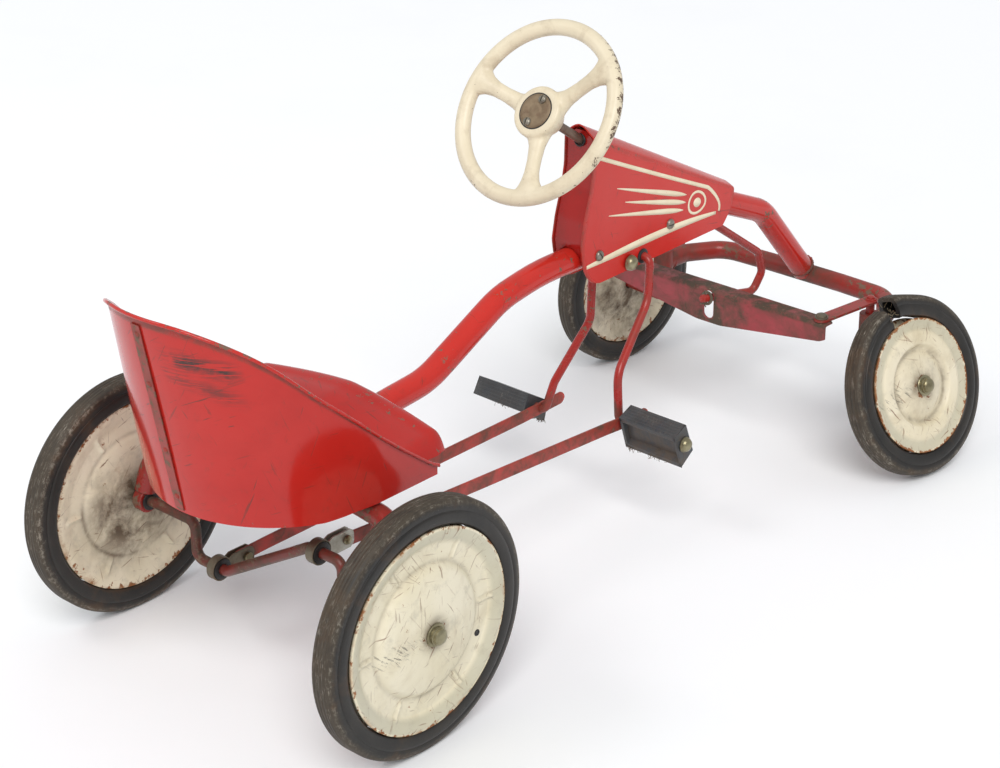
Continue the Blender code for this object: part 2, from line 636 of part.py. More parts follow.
def build_steering():
    """Steering wheel, column with its cranked foot, and the tie rod."""
    path = bent_path([COLUMN_TOP + COLUMN_AXIS * 0.004, (0, -0.7860, 0.2056), (0, -0.7995, 0.1760),
                      (0, -0.7880, 0.1530), (0, WEB_Y + 0.0115, 0.1700)], [0.014, 0.012, 0.011], math.radians(18))
    column = rod("steering_column", path, circle(COLUMN_R, 8), "brown_steel", up=(1, 0, 0))
    transform(column, COLUMN_TURN)

    # steering wheel in its own plane: local X is the driver-facing axis
    place = COLUMN_TURN @ outward_matrix(COLUMN_TOP, COLUMN_AXIS)
    n_ring, n_sec = 28, 6
    verts, faces = [], []
    for i in range(n_ring):
        a = 2 * math.pi * i / n_ring
        for c, s in circle(1.0, n_sec):
            r = WHEEL_RIM_R + WHEEL_TUBE_R * c
            verts.append((WHEEL_TUBE_R * 0.85 * s + 0.0045, r * math.sin(a), r * math.cos(a)))
    for i in range(n_ring):
        faces += strip_faces(i * n_sec, ((i + 1) % n_ring) * n_sec, n_sec)
    wheel = make("steering_wheel", verts, faces, "cream_plastic")
    hub = [(-0.0240, COLUMN_R + GAP), (-0.0240, 0.0150), (-0.0090, 0.0245), (0.0050, 0.0270),
           (0.0085, 0.0245), (0.0085, 0.0190), (0.0060, 0.0190), (0.0060, COLUMN_R + GAP)]
    spokes = []
    for angle in SPOKE_ANGLES:
        a = math.radians(angle)
        pts = [(-0.0030, 0.0200), (-0.0020, 0.0340), (0.0005, 0.0560), (0.0040, 0.0760), (0.0045, 0.0860)]
        sizes = [(0.0140, 0.0075), (0.0095, 0.0068), (0.0082, 0.0062), (0.0095, 0.0062), (0.0135, 0.0066)]
        verts, faces = [], []
        for (x, r), (w, t) in zip(pts, sizes):
            for c, s in circle(1.0, 6):
                # driver sees the car's left (+X) on the left hand side
                across, lift = w * c, t * s
                px, py = r * math.cos(a) - across * math.sin(a), r * math.sin(a) + across * math.cos(a)
                verts.append((x + lift, -px, py))
        for i in range(len(pts) - 1):
            faces += strip_faces(i * 6, (i + 1) * 6, 6)
        faces += [tuple(range(6))[::-1], tuple(range(24, 30))]
        spokes.append(make("spoke", verts, faces, "cream_plastic"))
    for spoke in spokes:
        fuse(wheel, spoke)
    cut(wheel, lathe("socket", [(-0.04, 0.0), (-0.04, 0.0140), (0.03, 0.0140), (0.03, 0.0)], 16, "cream_plastic"))
    fuse(wheel, lathe("hub", hub, 16, "cream_plastic"))
    transform(wheel, place)
    plate = [(0.0063, 0.0), (0.0063, 0.0185), (0.0076, 0.0185), (0.0088, 0.0168), (0.0088, 0.0)]
    lathe("hub_plate", plate, 16, "brown_steel", place)

    # washer on the foot of the column, behind the tie rod's web
    foot = (path[-1] - path[-2]).normalized()
    at = path[-1] - foot * 0.0085
    washer = [(0.0, COLUMN_R + GAP), (0.0, 0.0085), (0.0013, 0.0085), (0.0013, COLUMN_R + GAP)]
    lathe("column_washer", washer, 12, "zinc_steel", COLUMN_TURN @ outward_matrix(at, foot))

    build_tie_rod()


def build_tie_rod():
    """Deep-bellied channel: rear web with the column slot, top flange with two bolts."""
    top, end_z, mid_z, t = ARM_Z - GAP, 0.1600, 0.1385, 0.0018
    half, belly = 0.1620, 0.0170
    outline = [(-half, top), (-half - 0.004, top - 0.006), (-half, end_z), (-belly, mid_z), (belly, mid_z),
               (half, end_z), (half + 0.004, top - 0.006), (half, top)]
    web = [(x, WEB_Y - t, z) for x, z in outline] + [(x, WEB_Y, z) for x, z in outline]
    n = len(outline)
    rod_obj = make("tie_rod", web, strip_faces(0, n, n) + [tuple(range(n))[::-1], tuple(range(n, 2 * n))],
                   "red_paint_dark", False)
    depth = 0.0215
    flange = [(-half, WEB_Y - 0.0003), (-half, WEB_Y - depth + 0.007), (-half + 0.010, WEB_Y - depth),
              (half - 0.010, WEB_Y - depth), (half, WEB_Y - depth + 0.007), (half, WEB_Y - 0.0003)]
    verts = [(x, y, top - t) for x, y in flange] + [(x, y, top) for x, y in flange]
    fuse(rod_obj, make("flange", verts, strip_faces(0, 6, 6) + [tuple(range(6))[::-1], tuple(range(6, 12))],
                       "red_paint_dark", False))
    slot = [(0.0070 * math.cos(a), 0.1505 + 0.0070 * math.sin(a)) for a in np.linspace(math.pi, 2 * math.pi, 7)]
    slot += [(0.0070 * math.cos(a), 0.1706 + 0.0070 * math.sin(a)) for a in np.linspace(0, math.pi, 7)]
    verts = [(x, WEB_Y - 0.010, z) for x, z in slot] + [(x, WEB_Y + 0.010, z) for x, z in slot]
    n = len(slot)
    cut(rod_obj, make("slot", verts, strip_faces(0, n, n) + [tuple(range(n))[::-1], tuple(range(n, 2 * n))],
                      "red_paint_dark", False))
    bolt_y = KINGPIN_Y + ARM_LENGTH * math.cos(STEER_REST)
    for side, pin in KINGPIN.items():
        cut(rod_obj, cylinder("hole", (pin.x, bolt_y, top - 0.01), (pin.x, bolt_y, top + 0.01), 0.0030 + GAP, 10))
    transform(rod_obj, TIE_MOVE)
    low = top - t - GAP
    bolt = [(low - 0.0035, 0.0), (low - 0.0035, 0.0060), (low, 0.0060), (low, 0.0030), (ARM_Z + 0.0033, 0.0030),
            (ARM_Z + 0.0033, 0.0062), (ARM_Z + 0.0068, 0.0062), (ARM_Z + 0.0078, 0.0048), (ARM_Z + 0.0078, 0.0)]
    upright = Matrix.Rotation(-math.pi / 2, 4, "Y")
    for side, pin in KINGPIN.items():
        place = TIE_MOVE @ Matrix.Translation((pin.x, bolt_y, 0)) @ upright
        lathe("tie_bolt_" + side, bolt, 10, "zinc_steel", place)


def build_spindles():
    for side, sign in (("right", -1), ("left", 1)):
        centre, direction = front_centre(side)
        pin = KINGPIN[side]
        # kingpin line meets the wheel axis at the bend
        bend = centre - direction * ((centre.x - pin.x) / direction.x)
        path = bent_path([(pin.x, pin.y, ARM_Z + 0.0062), bend, centre + direction * 0.0232], 0.009,
                         math.radians(24))
        spindle = rod("spindle_" + side, path, circle(SPINDLE_R, 8), "red_paint_dark", up=(0, 1, 0))
        transform(spindle, STEER[side])

        w, reach = 0.0085, ARM_LENGTH
        arc = np.linspace(0, math.pi, 7)
        outline = [(pin.x + w * math.cos(a), pin.y + reach + w * math.sin(a)) for a in arc]
        outline += [(pin.x - w * math.cos(a), pin.y - w * math.sin(a)) for a in arc]
        z0, z1 = ARM_Z, ARM_Z + 0.0030
        n = len(outline)
        verts = [(x, y, z0) for x, y in outline] + [(x, y, z1) for x, y in outline]
        arm = make("steering_arm_" + side, verts,
                   strip_faces(0, n, n) + [tuple(range(n))[::-1], tuple(range(n, 2 * n))], "red_paint_dark", False)
        cut(arm, cylinder("hole", (pin.x, pin.y, z0 - 0.01), (pin.x, pin.y, z1 + 0.01), SPINDLE_R + GAP, 10))
        cut(arm, cylinder("hole", (pin.x, pin.y + reach, z0 - 0.01), (pin.x, pin.y + reach, z1 + 0.01),
                          0.0030 + GAP, 10))
        transform(arm, STEER[side])


# ---- wheels --------------------------------------------------------------------------------
def disc_profile(outer_face, thickness):
    """Closed section of a pressed disc from its outer face points (along, radius)."""
    back = []
    for i, (a, r) in enumerate(outer_face):
        p = Vector(outer_face[max(i - 1, 0)])
        q = Vector(outer_face[min(i + 1, len(outer_face) - 1)])
        t = (q - p).normalized()
        back.append((a - thickness * abs(t.y), r + thickness * t.x * (1 if t.y >= 0 else -1) * 0.5))
    back[0] = (outer_face[0][0] - thickness, outer_face[0][1])
    back[-1] = (outer_face[-1][0] - thickness, outer_face[-1][1])
    return outer_face + back[::-1]


REAR_FACE = [(0.0193, 0.0062), (0.0190, 0.0200), (0.0160, 0.0430), (0.0077, 0.0690), (0.0077, 0.0870),
             (0.0127, REAR_RIM)]
FRONT_FACE = [(0.0164, 0.0058), (0.0160, 0.0140), (0.0092, 0.0400), (0.0136, 0.0490), (0.0128, FRONT_RIM)]


def build_wheel(tag, radius_set, bore, centre, direction, steer):
    profile, rim, face = radius_set
    place = steer @ outward_matrix(centre, direction)
    count = 28 if tag.startswith("rear") else 24
    lathe("tyre_" + tag, profile, count, "rubber", place)
    lathe("wheel_disc_outer_" + tag, disc_profile(face, SHEET), count, "cream_paint", place)
    inner_face = [(-0.0090, bore), (-0.0060, rim * 0.60), (-0.0085, rim)]
    lathe("wheel_disc_inner_" + tag, disc_profile(inner_face, SHEET), count, "cream_paint", place)
    a0, pocket = face[0][0] + GAP, bore - 0.0002
    cap = [(a0, pocket), (a0, 0.0118), (a0 + 0.0020, 0.0112), (a0 + 0.0024, 0.0087), (a0 + 0.0064, 0.0084),
           (a0 + 0.0104, 0.0), (a0 + 0.0078, 0.0), (a0 + 0.0072, pocket)]
    lathe("hub_cap_" + tag, cap, 12, "zinc_steel", place)


def build_wheels():
    still = Matrix.Identity(4)
    for side, sign in (("right", -1), ("left", 1)):
        build_wheel("rear_" + side, (REAR_TYRE, REAR_RIM, REAR_FACE), CRANK_R + 0.0004,
                    Vector((sign * REAR_X, 0, REAR_R)), Vector((sign, 0, 0)), still)
        centre, direction = front_centre(side)
        build_wheel("front_" + side, (FRONT_TYRE, FRONT_RIM, FRONT_FACE), SPINDLE_R + 0.0004, centre, direction,
                    STEER[side])


# ---- drive ---------------------------------------------------------------------------------
def build_crank():
    z_up, z_low, web_x = REAR_R + THROW["right"], REAR_R + THROW["left"], 0.1040
    end = REAR_X + REAR_FACE[0][0] + 0.0060
    points = [(end, 0, REAR_R), (web_x, 0, REAR_R), (web_x, 0, z_low), (0.060, 0, z_low),
              (-0.060, 0, z_up), (-web_x, 0, z_up), (-web_x, 0, REAR_R), (-end, 0, REAR_R)]
    path = bent_path(points, [0.009, 0.009, 0.012, 0.012, 0.009, 0.009], math.radians(28))
    rod("crank_axle", path, circle(CRANK_R, 8), "red_paint_dark", up=(0, 1, 0))


def pedal_point(side):
    return Vector((0, *PEDAL_PIN[side]))


def bolt_offset(side):
    """Half of the rise and fall left free at the hanger bolt."""
    return 0.0024 if side == "right" else -0.0016


def build_drive():
    build_crank()
    for side, sign in (("right", -1), ("left", 1)):
        throw_z = REAR_R + THROW[side]
        x = sign * THROW_X
        # hanger: band round the throw with two cheeks over the rod's end
        ring_r = 0.0128
        hanger = prism("hanger_" + side, [(ring_r * math.cos(a), ring_r * math.sin(a))
                                          for a in np.linspace(0, 2 * math.pi, 15)[:-1]], x - 0.005, x + 0.005,
                       "zinc_steel")
        transform(hanger, Matrix.Translation((0, 0, throw_z)))
        for cheek in (-1, 1):
            x0 = x + cheek * 0.0024
            outline = [(-0.006, -0.0100), (-0.006, 0.0100), (-BOLT_AHEAD - 0.004, 0.0095),
                       (-BOLT_AHEAD - 0.0095, 0.0045), (-BOLT_AHEAD - 0.0095, -0.0045),
                       (-BOLT_AHEAD - 0.004, -0.0095)]
            plate = prism("cheek", outline, min(x0, x0 + cheek * 0.0016), max(x0, x0 + cheek * 0.0016), "zinc_steel")
            transform(plate, Matrix.Translation((0, 0, throw_z)))
            fuse(hanger, plate)
        cut(hanger, cylinder("bore", (x - 0.02, 0, throw_z), (x + 0.02, 0, throw_z), 0.0112, 14))
        bolt_at = Vector((x, -BOLT_AHEAD, throw_z))
        cut(hanger, cylinder("bolt_hole", bolt_at - Vector((0.02, 0, 0)), bolt_at + Vector((0.02, 0, 0)),
                             0.0025 + GAP, 8))
        bush = [(-0.0060, CRANK_R + 0.0005), (-0.0060, 0.0109), (0.0060, 0.0109), (0.0060, CRANK_R + 0.0005)]
        lathe("hanger_bush_" + side, bush, 14, "black_bush", outward_matrix((x, 0, throw_z), (sign, 0, 0)))
        bolt = [(0.0043, 0.0), (0.0043, 0.0048), (0.0068, 0.0046), (0.0076, 0.0030), (0.0076, 0.0)]
        bolt = [(-0.0072, 0.0), (-0.0072, 0.0050), (-0.0043, 0.0050), (-0.0043, 0.0025), (0.0043, 0.0025)] + bolt[1:]
        lathe("hanger_bolt_" + side, bolt, 10, "zinc_steel", outward_matrix(bolt_at, (sign, 0, 0)))
        build_push_rod(side, sign, bolt_at)
        build_pedal_arm(side, sign)


def build_push_rod(side, sign, bolt_at):
    pin = pedal_point(side)
    hole = bolt_at - Vector((0, 0, bolt_offset(side)))
    front = Vector((sign * PEDAL_ROD_X, pin.y, pin.z))
    slope = (hole.z - front.z) / (hole.y - front.y)
    start = Vector((front.x, front.y - 0.036, front.z - 0.036 * slope))
    stop = Vector((hole.x, hole.y + 0.0085, hole.z + 0.0085 * slope))
    mid1 = Vector((front.x, front.y + 0.030, front.z + 0.030 * slope))
    mid2 = Vector((hole.x, hole.y - 0.030, hole.z - 0.030 * slope))
    section = [(-0.0015, -0.0072), (0.0015, -0.0072), (0.0015, 0.0072), (-0.0015, 0.0072)]
    bar = rod("push_rod_" + side, [start, mid1, mid2, stop], section, "red_paint", up=(0, 0, 1), smooth=False)
    fuse(bar, cylinder("tip", start - Vector((0.0015, 0, 0)), start + Vector((0.0015, 0, 0)), 0.0072, 12))
    fuse(bar, cylinder("eye", hole - Vector((0.0015, 0, 0)), hole + Vector((0.0015, 0, 0)), 0.0092, 12))
    cut(bar, cylinder("bolt_hole", hole - Vector((0.02, 0, 0)), hole + Vector((0.02, 0, 0)), 0.0058, 12))
    cut(bar, cylinder("pin_hole", front - Vector((0.02, 0, 0)), front + Vector((0.02, 0, 0)), ARM_R + 0.0007, 12))


def pedal_turned(side, pin, y, z):
    """A point of the pedal's section, turned about its pin to where the pedal hangs at rest."""
    c, s = math.cos(PEDAL_REST[side]), math.sin(PEDAL_REST[side])
    return pin.y + y * c - z * s, pin.z + y * s + z * c


def build_pedal_arm(side, sign):
    pin = pedal_point(side)
    y0 = PIVOT_Y[side]
    far = -sign * (hood_width(y0) + 0.0102)
    drop = PIVOT_Z - pin.z
    upper, lower, lead = (0.30, 0.33, 0.002) if side == "right" else (0.45, 0.18, 0.010)
    knees = [(0.0300, y0, PIVOT_Z), (0.0305, y0 + 0.0030, PIVOT_Z - upper * drop),
             (0.0480, pin.y - lead, pin.z + lower * drop), (0.0525, pin.y, pin.z)]
    radii = [0.009, 0.030, 0.030, 0.0075]
    points = [(far, y0, PIVOT_Z)] + [(sign * x, y, z) for x, y, z in knees]
    points.append((sign * (PEDAL_OUT + 0.0040), pin.y, pin.z))
    path = bent_path(points, radii, math.radians(24))
    rod("pedal_arm_" + side, path, circle(ARM_R, 8), "red_paint_dark", up=(0, 1, 0.01))

    # push-on cap at the far end of the pivot
    start = hood_width(y0) + 0.0028
    cap = [(start, ARM_R + GAP), (start, 0.0088), (start + 0.0018, 0.0088), (start + 0.0045, 0.0078),
           (start + 0.0080, 0.0045), (start + 0.0092, 0.0), (start + 0.0084, 0.0), (start + 0.0082, ARM_R + GAP)]
    lathe("pivot_cap_" + side, cap, 10, "zinc_steel", outward_matrix((0, y0, PIVOT_Z), (-sign, 0, 0)))

    # pedal: channel open to the rear with two end walls
    a_f, b_r = (-0.0030, 0.0215), (0.0165, 0.0130)
    c_f, d_r = (-0.0165, -0.0130), (0.0030, -0.0265)
    t = 0.0032
    outline = [b_r, a_f, c_f, d_r, (d_r[0] + 0.001, d_r[1] + t * 1.1), (c_f[0] + t * 1.1, c_f[1] + 0.0012),
               (a_f[0] + t * 0.75, a_f[1] - t * 1.15), (b_r[0] - 0.0005, b_r[1] - t * 1.1)]
    outline = [pedal_turned(side, pin, y, z) for y, z in outline]
    x0, x1 = sorted((sign * PEDAL_IN, sign * PEDAL_OUT))
    pedal = prism("pedal_" + side, outline, x0, x1, "rubber")
    wall = [pedal_turned(side, pin, y, z) for y, z in (b_r, a_f, c_f, d_r, (0.0085, -0.010))]
    for xa in (x0, x1 - 0.0030):
        fuse(pedal, prism("wall", wall, xa, xa + 0.0030, "rubber"))
    cut(pedal, cylinder("bore", (x0 - 0.01, pin.y, pin.z), (x1 + 0.01, pin.y, pin.z), ARM_R + 0.0007, 12))
    start = PEDAL_OUT + GAP
    cap = [(start, ARM_R + GAP), (start, 0.0085), (start + 0.0016, 0.0085), (start + 0.0042, 0.0074),
           (start + 0.0072, 0.0042), (start + 0.0082, 0.0), (start + 0.0052, 0.0), (start + 0.0050, ARM_R + GAP)]
    lathe("pedal_cap_" + side, cap, 10, "zinc_steel", outward_matrix((0, pin.y, pin.z), (sign, 0, 0)))


# ---- assembly ------------------------------------------------------------------------------
def spin_origin(obj, point):
    """Put the object's origin on its joint axis."""
    point = Vector(point)
    obj.data.transform(Matrix.Translation(-point))
    obj.location = point


def joint_origins():
    """Pivot point of every moving piece, in the car frame."""
    origins = {}
    for side, sign in (("right", -1), ("left", 1)):
        centre, _ = front_centre(side)
        for end, point in (("rear", Vector((sign * REAR_X, 0, REAR_R))), ("front", STEER[side] @ centre)):
            for piece in ("tyre_", "wheel_disc_outer_", "wheel_disc_inner_", "hub_cap_"):
                origins[f"{piece}{end}_{side}"] = point
        pin = KINGPIN[side]
        origins["spindle_" + side] = origins["steering_arm_" + side] = Vector((pin.x, pin.y, 0.145))
        throw_z = REAR_R + THROW[side]
        for piece in ("hanger_", "hanger_bush_", "hanger_bolt_"):
            origins[piece + side] = Vector((sign * THROW_X, 0, throw_z))
        foot = pedal_point(side)
        origins["push_rod_" + side] = Vector((sign * PEDAL_ROD_X, foot.y, foot.z))
        for piece in ("pedal_", "pedal_cap_"):
            origins[piece + side] = Vector((sign * 0.5 * (PEDAL_IN + PEDAL_OUT), foot.y, foot.z))
        y0 = PIVOT_Y[side]
        for piece in ("pedal_arm_", "pivot_cap_"):
            origins[piece + side] = Vector((0, y0, PIVOT_Z))
    for piece in ("steering_column", "steering_wheel", "hub_plate", "column_washer"):
        origins[piece] = COLUMN_TOP
    bolt = STEER["right"] @ (KINGPIN["right"] + Vector((0, ARM_LENGTH, ARM_Z)))
    for piece in ("tie_rod", "tie_bolt_right", "tie_bolt_left"):
        origins[piece] = bolt
    origins["crank_axle"] = Vector((0, 0, REAR_R))
    return origins


def centre_on_floor():
    """Move everything so the origin is the bottom centre of the bounding box."""
    lo, hi = Vector((9, 9, 9)), Vector((-9, -9, -9))
    for obj in bpy.data.objects:
        for v in obj.data.vertices:
            for k in range(3):
                lo[k], hi[k] = min(lo[k], v.co[k]), max(hi[k], v.co[k])
    shift = Vector((-(lo.x + hi.x) / 2, -(lo.y + hi.y) / 2, -lo.z))
    origins = joint_origins()
    for obj in bpy.data.objects:
        if obj.name in origins:
            spin_origin(obj, origins[obj.name])
        obj.location += shift
    return shift


clear_scene()
build_frame()
build_seat()
build_hood()
build_steering()
build_spindles()
build_wheels()
build_drive()
centre_on_floor()
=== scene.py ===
"""Looks of the child's pedal car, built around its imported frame.

Everything is in metres. Shapes are worked out in a car frame (rear axle at y = 0, centre plane
x = 0, floor z = 0, the car drives towards -Y) and moved to the row frame by SHIFT, which is read
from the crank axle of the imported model. Each piece rides on the body it belongs to.
"""
import math
import random

import bmesh
import bpy
import numpy as np
from mathutils import Matrix, Vector


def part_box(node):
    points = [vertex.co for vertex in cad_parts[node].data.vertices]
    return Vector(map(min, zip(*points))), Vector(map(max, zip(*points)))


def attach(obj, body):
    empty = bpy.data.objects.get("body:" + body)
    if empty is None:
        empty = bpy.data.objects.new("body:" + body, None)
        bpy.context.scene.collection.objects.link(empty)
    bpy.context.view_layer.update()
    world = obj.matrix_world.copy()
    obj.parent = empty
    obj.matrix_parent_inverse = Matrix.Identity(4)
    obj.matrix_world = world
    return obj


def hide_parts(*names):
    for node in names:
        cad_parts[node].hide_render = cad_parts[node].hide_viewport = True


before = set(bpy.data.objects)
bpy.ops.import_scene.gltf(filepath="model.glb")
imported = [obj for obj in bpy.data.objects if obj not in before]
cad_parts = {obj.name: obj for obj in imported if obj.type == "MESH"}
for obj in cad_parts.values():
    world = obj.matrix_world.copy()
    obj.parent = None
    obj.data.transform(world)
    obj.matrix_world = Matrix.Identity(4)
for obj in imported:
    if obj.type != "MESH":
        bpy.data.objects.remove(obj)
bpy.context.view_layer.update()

_lo, _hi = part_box("crank_axle")
SHIFT = Vector(((_lo.x + _hi.x) / 2, (_lo.y + _hi.y) / 2, 0.0))

# ---- driving sizes of the car --------------------------------------------------------------
REAR_R, FRONT_R = 0.127, 0.1023
REAR_RIM, FRONT_RIM = 0.1012, 0.0766
REAR_X = 0.2023
TYRE_HALF = 0.0135
MAIN_R, SMALL_R = 0.0138, 0.0111
SHEET = 0.0014
STEER_REST = math.radians(-7.5)
COLUMN_REST = STEER_REST / 0.85
KINGPIN_X, KINGPIN_Y = 0.150, -0.800
ARM_LENGTH, ARM_Z = 0.0827, 0.1800
SPINDLE_OUT, SPINDLE_R = 0.0700, 0.005
CAMBER = {"right": math.radians(18.5), "left": 0.0}
COLUMN_R = 0.00475
COLUMN_TILT = math.radians(34.5)
COLUMN_TOP = Vector((0.0, -0.3973, 0.472))
COLUMN_AXIS = Vector((0.0, math.cos(COLUMN_TILT), math.sin(COLUMN_TILT)))
WEB_Y = -0.7080
CRANK_R, THROW_X, BOLT_AHEAD = 0.0055, 0.072, 0.034
THROW = {"right": 0.031, "left": -0.040}
PIVOT_Z = 0.2780
PIVOT_Y = {"right": -0.5450, "left": -0.5210}
PEDAL_PIN = {"right": (-0.468, 0.119), "left": (-0.468, 0.098)}
ARM_R, PEDAL_ROD_X = 0.00475, 0.0600
PEDAL_IN, PEDAL_OUT = 0.0660, 0.1420
PEDAL_REST = {"right": 0.0, "left": math.radians(-38.0)}
SIDES = (("right", -1), ("left", 1))


# ---- camera, light and floor ---------------------------------------------------------------
CAMERA_AT, CAMERA_AIM = Vector((-1.506, 1.332, 1.2335)), Vector((-0.0115, -0.3222, 0.200))
CAMERA_ROLL, CAMERA_LENS, SENSOR = math.radians(-0.30), 85.36, 36.0
SUN_POWER, SUN_SPREAD, SUN_FROM = 1.85, math.radians(34), Vector((-0.62, 0.62, 0.95))
SKY, SKY_STRENGTH = (0.955, 0.975, 1.0, 1.0), 0.60
SOFTBOX_AT, SOFTBOX_AIM = Vector((0.9, 1.5, 2.3)), Vector((0, 0, 0.2))
SOFTBOX_SIZE, SOFTBOX_POWER = (0.9, 0.7), 10.0
FLOOR_HALF, FLOOR_DROP = 40.0, 0.0002


def add_camera():
    """Camera behind and to the right of the car, at the photograph's viewing angle."""
    back = (CAMERA_AT - CAMERA_AIM).normalized()
    right = Vector((0, 0, 1)).cross(back).normalized()
    turn = Matrix((right, back.cross(right), back)).transposed().to_4x4()
    cam = bpy.data.objects.new("camera", bpy.data.cameras.new("camera"))
    cam.data.sensor_width = SENSOR
    cam.data.lens = CAMERA_LENS
    cam.matrix_world = Matrix.Translation(CAMERA_AT + SHIFT) @ turn @ Matrix.Rotation(CAMERA_ROLL, 4, "Z")
    bpy.context.scene.collection.objects.link(cam)
    bpy.context.scene.camera = cam


def add_lamp(lamp, location, back):
    """Lamp object that shines against the direction back."""
    obj = bpy.data.objects.new(lamp.name, lamp)
    obj.location = location
    obj.rotation_euler = back.to_track_quat("Z", "Y").to_euler()
    bpy.context.scene.collection.objects.link(obj)


def add_studio():
    scene = bpy.context.scene
    scene.view_settings.view_transform = "Standard"
    world = bpy.data.worlds.new("studio")
    scene.world = world
    world.use_nodes = True
    background = world.node_tree.nodes["Background"]
    background.inputs["Color"].default_value = SKY
    background.inputs["Strength"].default_value = SKY_STRENGTH
    sun = bpy.data.lights.new("key", "SUN")
    sun.energy, sun.angle, sun.color = SUN_POWER, SUN_SPREAD, (1.0, 0.985, 0.96)
    add_lamp(sun, Vector((0, 0, 0)), SUN_FROM)
    softbox = bpy.data.lights.new("softbox", "AREA")
    softbox.shape = "RECTANGLE"
    softbox.size, softbox.size_y = SOFTBOX_SIZE
    softbox.energy, softbox.color = SOFTBOX_POWER, (1.0, 0.99, 0.98)
    add_lamp(softbox, SOFTBOX_AT, SOFTBOX_AT - SOFTBOX_AIM)


def add_floor():
    mesh = bpy.data.meshes.new("floor")
    corners = [(x * FLOOR_HALF, y * FLOOR_HALF, 0) for x, y in ((-1, -1), (1, -1), (1, 1), (-1, 1))]
    mesh.from_pydata(corners, [], [(0, 1, 2, 3)])
    mesh.materials.append(floor_material())
    floor = bpy.data.objects.new("floor", mesh)
    floor.location.z = -FLOOR_DROP
    bpy.context.scene.collection.objects.link(floor)


# ---- node helper ---------------------------------------------------------------------------
class Shader:
    """Node tree of one procedural material; its methods add nodes and return their output sockets."""

    def __init__(self, name):
        self.mat = bpy.data.materials.new(name)
        self.mat.use_nodes = True
        self.tree = self.mat.node_tree
        self.bsdf = self.tree.nodes["Principled BSDF"]
        self.where = self.node("ShaderNodeTexCoord").outputs["Object"]

    def node(self, kind, **settings):
        made = self.tree.nodes.new(kind)
        for key, value in settings.items():
            setattr(made, key, value)
        return made

    def plug(self, value, socket):
        if isinstance(value, bpy.types.NodeSocket):
            self.tree.links.new(value, socket)
        else:
            socket.default_value = value

    def stretched(self, scale, turn=(0, 0, 0)):
        """Place turned first and then stretched, so that streaks run in the turned direction."""
        made = self.node("ShaderNodeMapping", vector_type="TEXTURE")
        self.plug(self.where, made.inputs["Vector"])
        made.inputs["Scale"].default_value = [1.0 / c for c in scale]
        made.inputs["Rotation"].default_value = turn
        return made.outputs["Vector"]

    def rolled(self, along, across):
        """Place on a wheel in which streaks run round the rim."""
        made = self.node("ShaderNodeCombineXYZ")
        self.plug(self.times(self.place(1), along), made.inputs[0])
        self.plug(self.times(self.place(2), along), made.inputs[1])
        self.plug(self.times(self.attribute("across"), across), made.inputs[2])
        return made.outputs[0]

    def noise(self, scale, detail=4.0, rough=0.55, distortion=0.0, vector=None):
        n = self.node("ShaderNodeTexNoise")
        self.plug(vector or self.where, n.inputs["Vector"])
        n.inputs["Scale"].default_value = scale
        n.inputs["Detail"].default_value = detail
        n.inputs["Roughness"].default_value = rough
        n.inputs["Distortion"].default_value = distortion
        return n.outputs["Fac"]

    def band(self, fac, low, high):
        """0 below low, 1 above high."""
        n = self.node("ShaderNodeMapRange")
        self.plug(fac, n.inputs["Value"])
        n.inputs["From Min"].default_value, n.inputs["From Max"].default_value = low, high
        return n.outputs["Result"]

    def calc(self, operation, a, b=0.0, clamp=False):
        n = self.node("ShaderNodeMath", operation=operation, use_clamp=clamp)
        self.plug(a, n.inputs[0])
        self.plug(b, n.inputs[1])
        return n.outputs[0]

    def times(self, a, b):
        return self.calc("MULTIPLY", a, b)

    def minus(self, a, b):
        return self.calc("SUBTRACT", a, b)

    def plus(self, a, b):
        """Sum kept between 0 and 1."""
        return self.calc("ADD", a, b, True)

    def mix(self, fac, a, b):
        n = self.node("ShaderNodeMix", data_type="RGBA")
        self.plug(fac, n.inputs[0])
        self.plug(a, n.inputs[6])
        self.plug(b, n.inputs[7])
        return n.outputs[2]

    def attribute(self, name):
        return self.node("ShaderNodeAttribute", attribute_name=name).outputs["Fac"]

    def facing(self, axis):
        """The surface normal's share along one axis: 0, 1 or 2."""
        split = self.node("ShaderNodeSeparateXYZ")
        self.plug(self.node("ShaderNodeNewGeometry").outputs["Normal"], split.inputs[0])
        return split.outputs[axis]

    def place(self, axis):
        split = self.node("ShaderNodeSeparateXYZ")
        self.plug(self.where, split.inputs[0])
        return split.outputs[axis]

    def finish(self, colour, rough, metal=0.0, height=None, strength=0.3, distance=0.0004, shine=0.5):
        self.plug(colour, self.bsdf.inputs["Base Color"])
        self.plug(rough, self.bsdf.inputs["Roughness"])
        self.plug(metal, self.bsdf.inputs["Metallic"])
        self.bsdf.inputs["Specular IOR Level"].default_value = shine
        if height is not None:
            bump = self.node("ShaderNodeBump")
            bump.inputs["Strength"].default_value = strength
            bump.inputs["Distance"].default_value = distance
            self.plug(height, bump.inputs["Height"])
            self.plug(bump.outputs["Normal"], self.bsdf.inputs["Normal"])
        return self.mat


def rgb(r, g, b):
    return (r, g, b, 1.0)


DIRT_AND_SHADE = rgb(0.075, 0.052, 0.034)
RUST = rgb(0.16, 0.055, 0.018)
STEEL = rgb(0.16, 0.13, 0.10)


